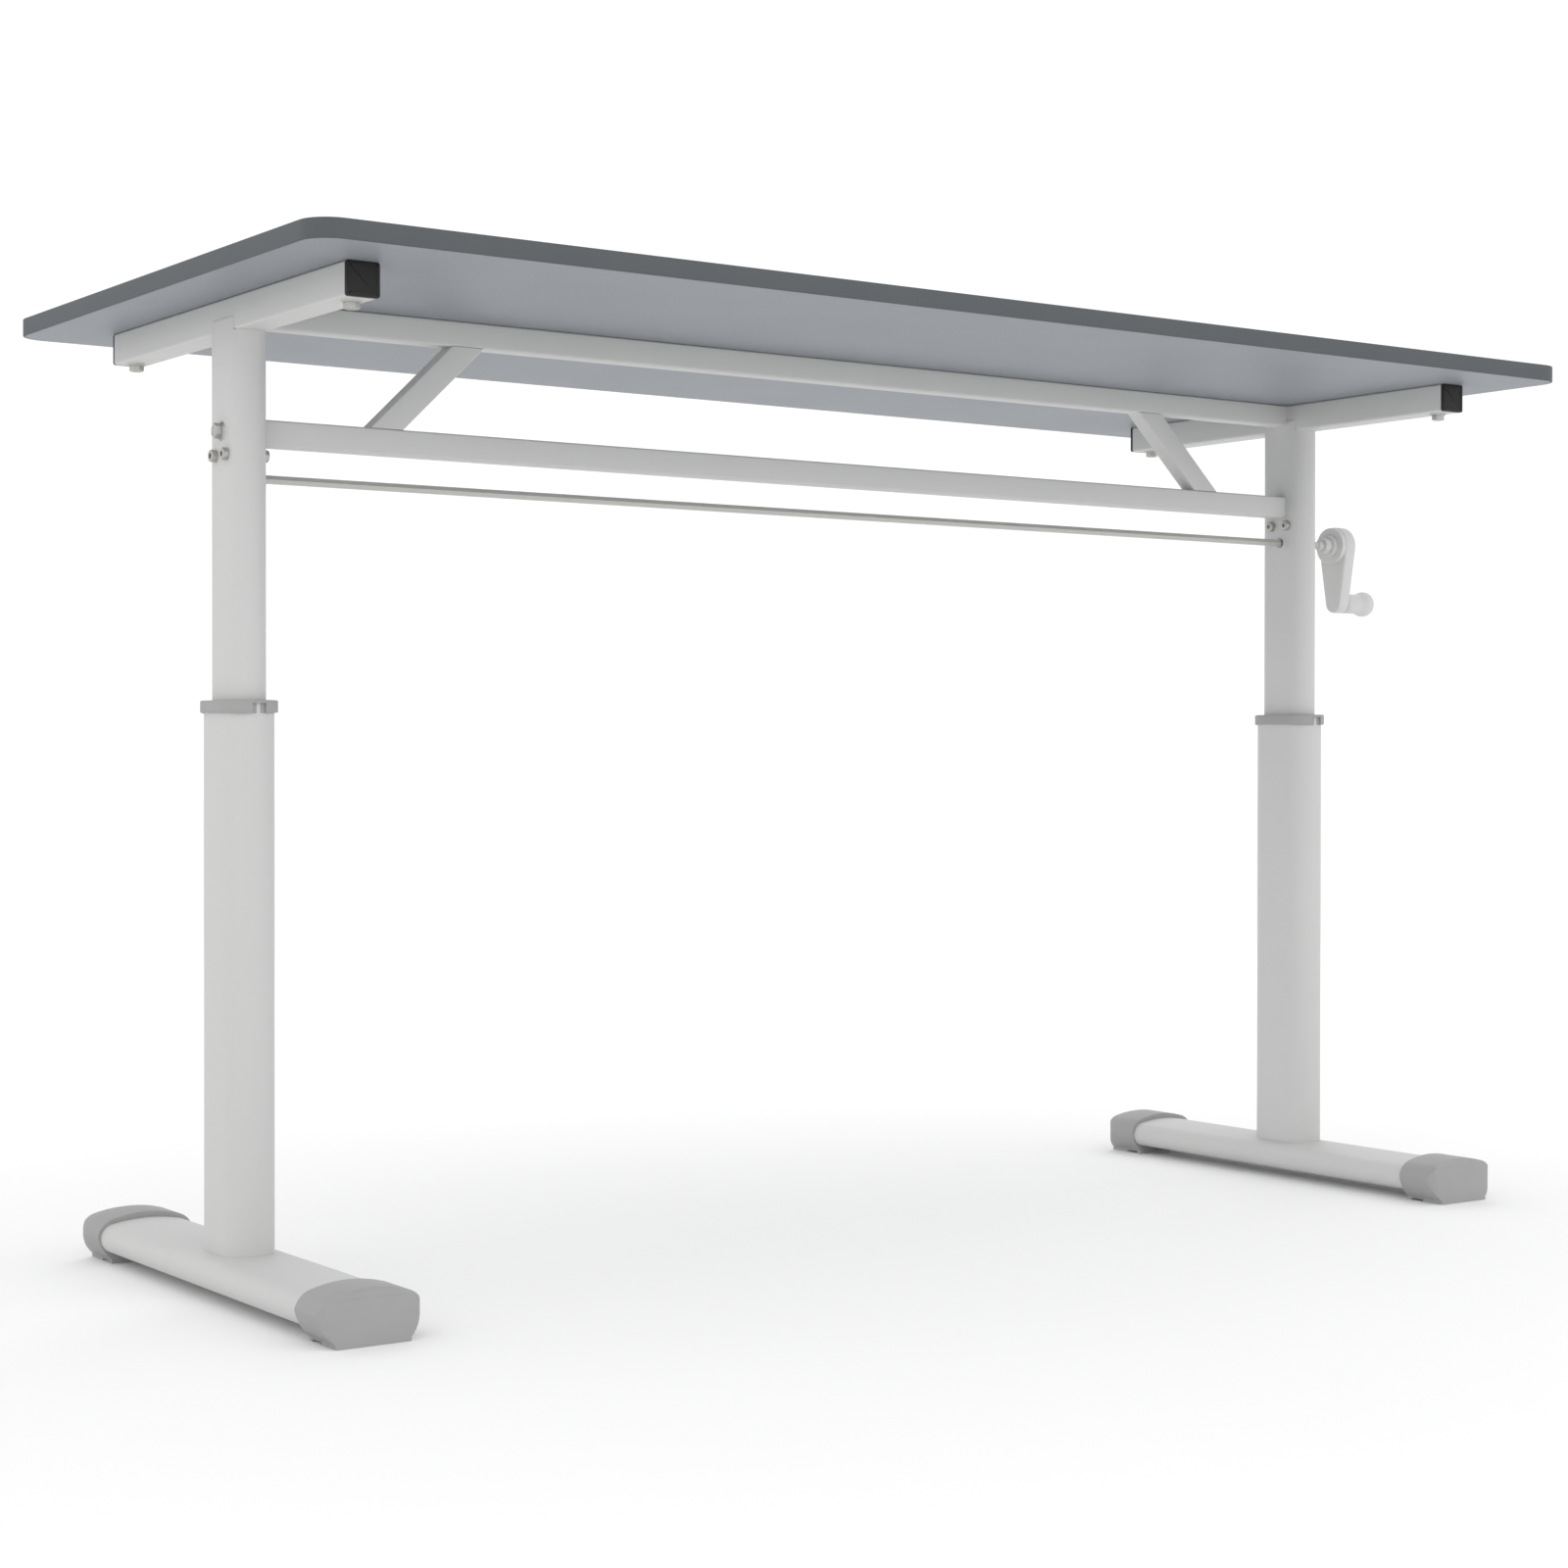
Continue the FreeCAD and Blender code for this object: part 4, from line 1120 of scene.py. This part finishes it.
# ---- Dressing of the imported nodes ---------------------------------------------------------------

NODE_LOOKS: dict[str, Look] = {
    "foot_tube": Look.FRAME, "lower_column": Look.FRAME, "upper_column": Look.FRAME, "nut_tube": Look.FRAME,
    "cross_beam": Look.FRAME, "brace": Look.FRAME, "top_rail": Look.FRAME, "lower_rail": Look.FRAME,
    "foot_cap": Look.CAPS, "glide_collar": Look.CAPS, "beam_plug": Look.PLUG, "slide_shoe": Look.NYLON,
    "lead_nut": Look.BRASS, "gearbox_housing": Look.CAST, "gearbox_screws": Look.ZINC,
    "thrust_bearing": Look.TURNED, "screw_gear": Look.TURNED, "lead_screw": Look.TURNED,
    "shaft_pinion": Look.TURNED, "shaft_sleeve": Look.TURNED, "cross_shaft": Look.DRAWN,
    "rail_bolts": Look.ZINC, "rail_spacers": Look.ZINC, "rail_inserts": Look.ZINC, "top_bolts": Look.ZINC,
    "top_inserts": Look.ZINC, "crank_screw": Look.ZINC, "grip_pin": Look.ZINC, "crank_arm": Look.CRANK,
    "crank_grip": Look.CRANK, "tabletop_board": Look.LAMINATE, "top_edge_band": Look.BAND,
}


def dress_nodes(paints: Paintbox) -> None:
    """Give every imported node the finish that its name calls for.

    Args:
        paints: finishes.
    """
    for name in sorted(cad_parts):
        kinds = [kind for kind in NODE_LOOKS if name.startswith(kind)]
        paints.dress_node(name, NODE_LOOKS[max(kinds, key=len)])


# ---- Studio -------------------------------------------------------------------------------------

@dataclass(frozen=True)
class Lamp:
    """One soft area lamp aimed at the desk."""

    name: str
    place: tuple[float, float, float]
    size: float
    power: float

    def build(self, target: Vector) -> None:
        """Hang the lamp and aim it.

        Args:
            target: point it looks at.
        """
        data = bpy.data.lights.new(self.name, "AREA")
        data.shape = "DISK"
        data.size = self.size
        data.energy = self.power
        lamp = bpy.data.objects.new(self.name, data)
        bpy.context.scene.collection.objects.link(lamp)
        lamp.location = self.place
        lamp.rotation_euler = (target - Vector(self.place)).to_track_quat("-Z", "Y").to_euler()


@dataclass
class Studio:
    """Pale floor, soft light all round and the camera."""

    floor: float = 60.0
    camera_place: tuple[float, float, float] = (-1.8691, -2.5371, 0.5195)
    heading: float = 35.089
    pitch: float = -0.499
    roll: float = 0.056
    lens: float = 64.65
    sky: float = 1.06
    aim: tuple[float, float, float] = (0.0, 0.0, 0.6)
    lamps: tuple[Lamp, ...] = (
        Lamp("key_left", (-4.2, -2.2, 2.6), 2.6, 8.0),
        Lamp("fill_front", (1.2, -4.6, 2.2), 3.0, 12.0),
        Lamp("back_right", (3.2, 3.0, 3.0), 3.0, 15.0),
    )

    def build_floor(self) -> None:
        """Wide pale floor under the feet."""
        bm = bmesh.new()
        bmesh.ops.create_grid(bm, x_segments=2, y_segments=2, size=self.floor / 2)
        mesh = bpy.data.meshes.new("studio_floor")
        bm.to_mesh(mesh)
        bm.free()
        floor = bpy.data.objects.new("studio_floor", mesh)
        bpy.context.scene.collection.objects.link(floor)
        material = bpy.data.materials.new("painted_studio_floor")
        material.use_nodes = True
        tree = material.node_tree
        tree.nodes.clear()
        place = add(tree, "ShaderNodeTexCoord").outputs["Object"]
        cloud = add(tree, "ShaderNodeTexNoise", {"Vector": place, "Scale": 0.7, "Detail": 2.0})
        tone = add(tree, "ShaderNodeMix", {0: cloud.outputs[0], 6: linear("f7f7f7"), 7: linear("fbfbfb")},
                   data_type="RGBA")
        shader = add(tree, "ShaderNodeBsdfPrincipled", {"Base Color": tone.outputs[2], "Roughness": 0.9})
        add(tree, "ShaderNodeOutputMaterial", {"Surface": shader.outputs[0]})
        mesh.materials.append(material)

    def build_light(self) -> None:
        """Even white surroundings and the lamps."""
        world = bpy.data.worlds.new("studio_air")
        world.use_nodes = True
        tree = world.node_tree
        tree.nodes.clear()
        air = add(tree, "ShaderNodeBackground", {"Color": (1.0, 1.0, 1.0, 1.0), "Strength": self.sky})
        add(tree, "ShaderNodeOutputWorld", {"Surface": air.outputs[0]})
        bpy.context.scene.world = world
        for lamp in self.lamps:
            lamp.build(Vector(self.aim))

    def build_camera(self) -> None:
        """Camera at eye level with the columns, turned towards the far right."""
        data = bpy.data.cameras.new("studio_camera")
        data.sensor_width = 36.0
        data.lens = self.lens
        data.clip_start = 0.05
        data.clip_end = 200.0
        camera = bpy.data.objects.new("studio_camera", data)
        bpy.context.scene.collection.objects.link(camera)
        camera.location = self.camera_place
        look = Euler((math.radians(90 + self.pitch), 0.0, math.radians(-self.heading)), "XYZ").to_matrix()
        spin = Matrix.Rotation(math.radians(self.roll), 3, "Z")
        camera.rotation_euler = (look @ spin).to_euler()
        bpy.context.scene.camera = camera

    def build(self) -> None:
        """Make the floor, the light and the camera, and choose plain colour."""
        self.build_floor()
        self.build_light()
        self.build_camera()
        bpy.context.scene.view_settings.view_transform = "Standard"


def main() -> None:
    """Build every sub-assembly in order and log how many pieces were made."""
    logging.basicConfig(level=logging.INFO, format="%(name)s %(message)s")
    paints = Paintbox()
    dress_nodes(paints)
    maker = Maker(paints)
    Tabletop(maker).build()
    UnderFrame(maker).build()
    for side in ("left", "right"):
        Leg(maker, side).build()
    Crank(maker).build()
    Studio().build()
    log.info("%d pieces made", maker.count)


if __name__ == "__main__":
    main()
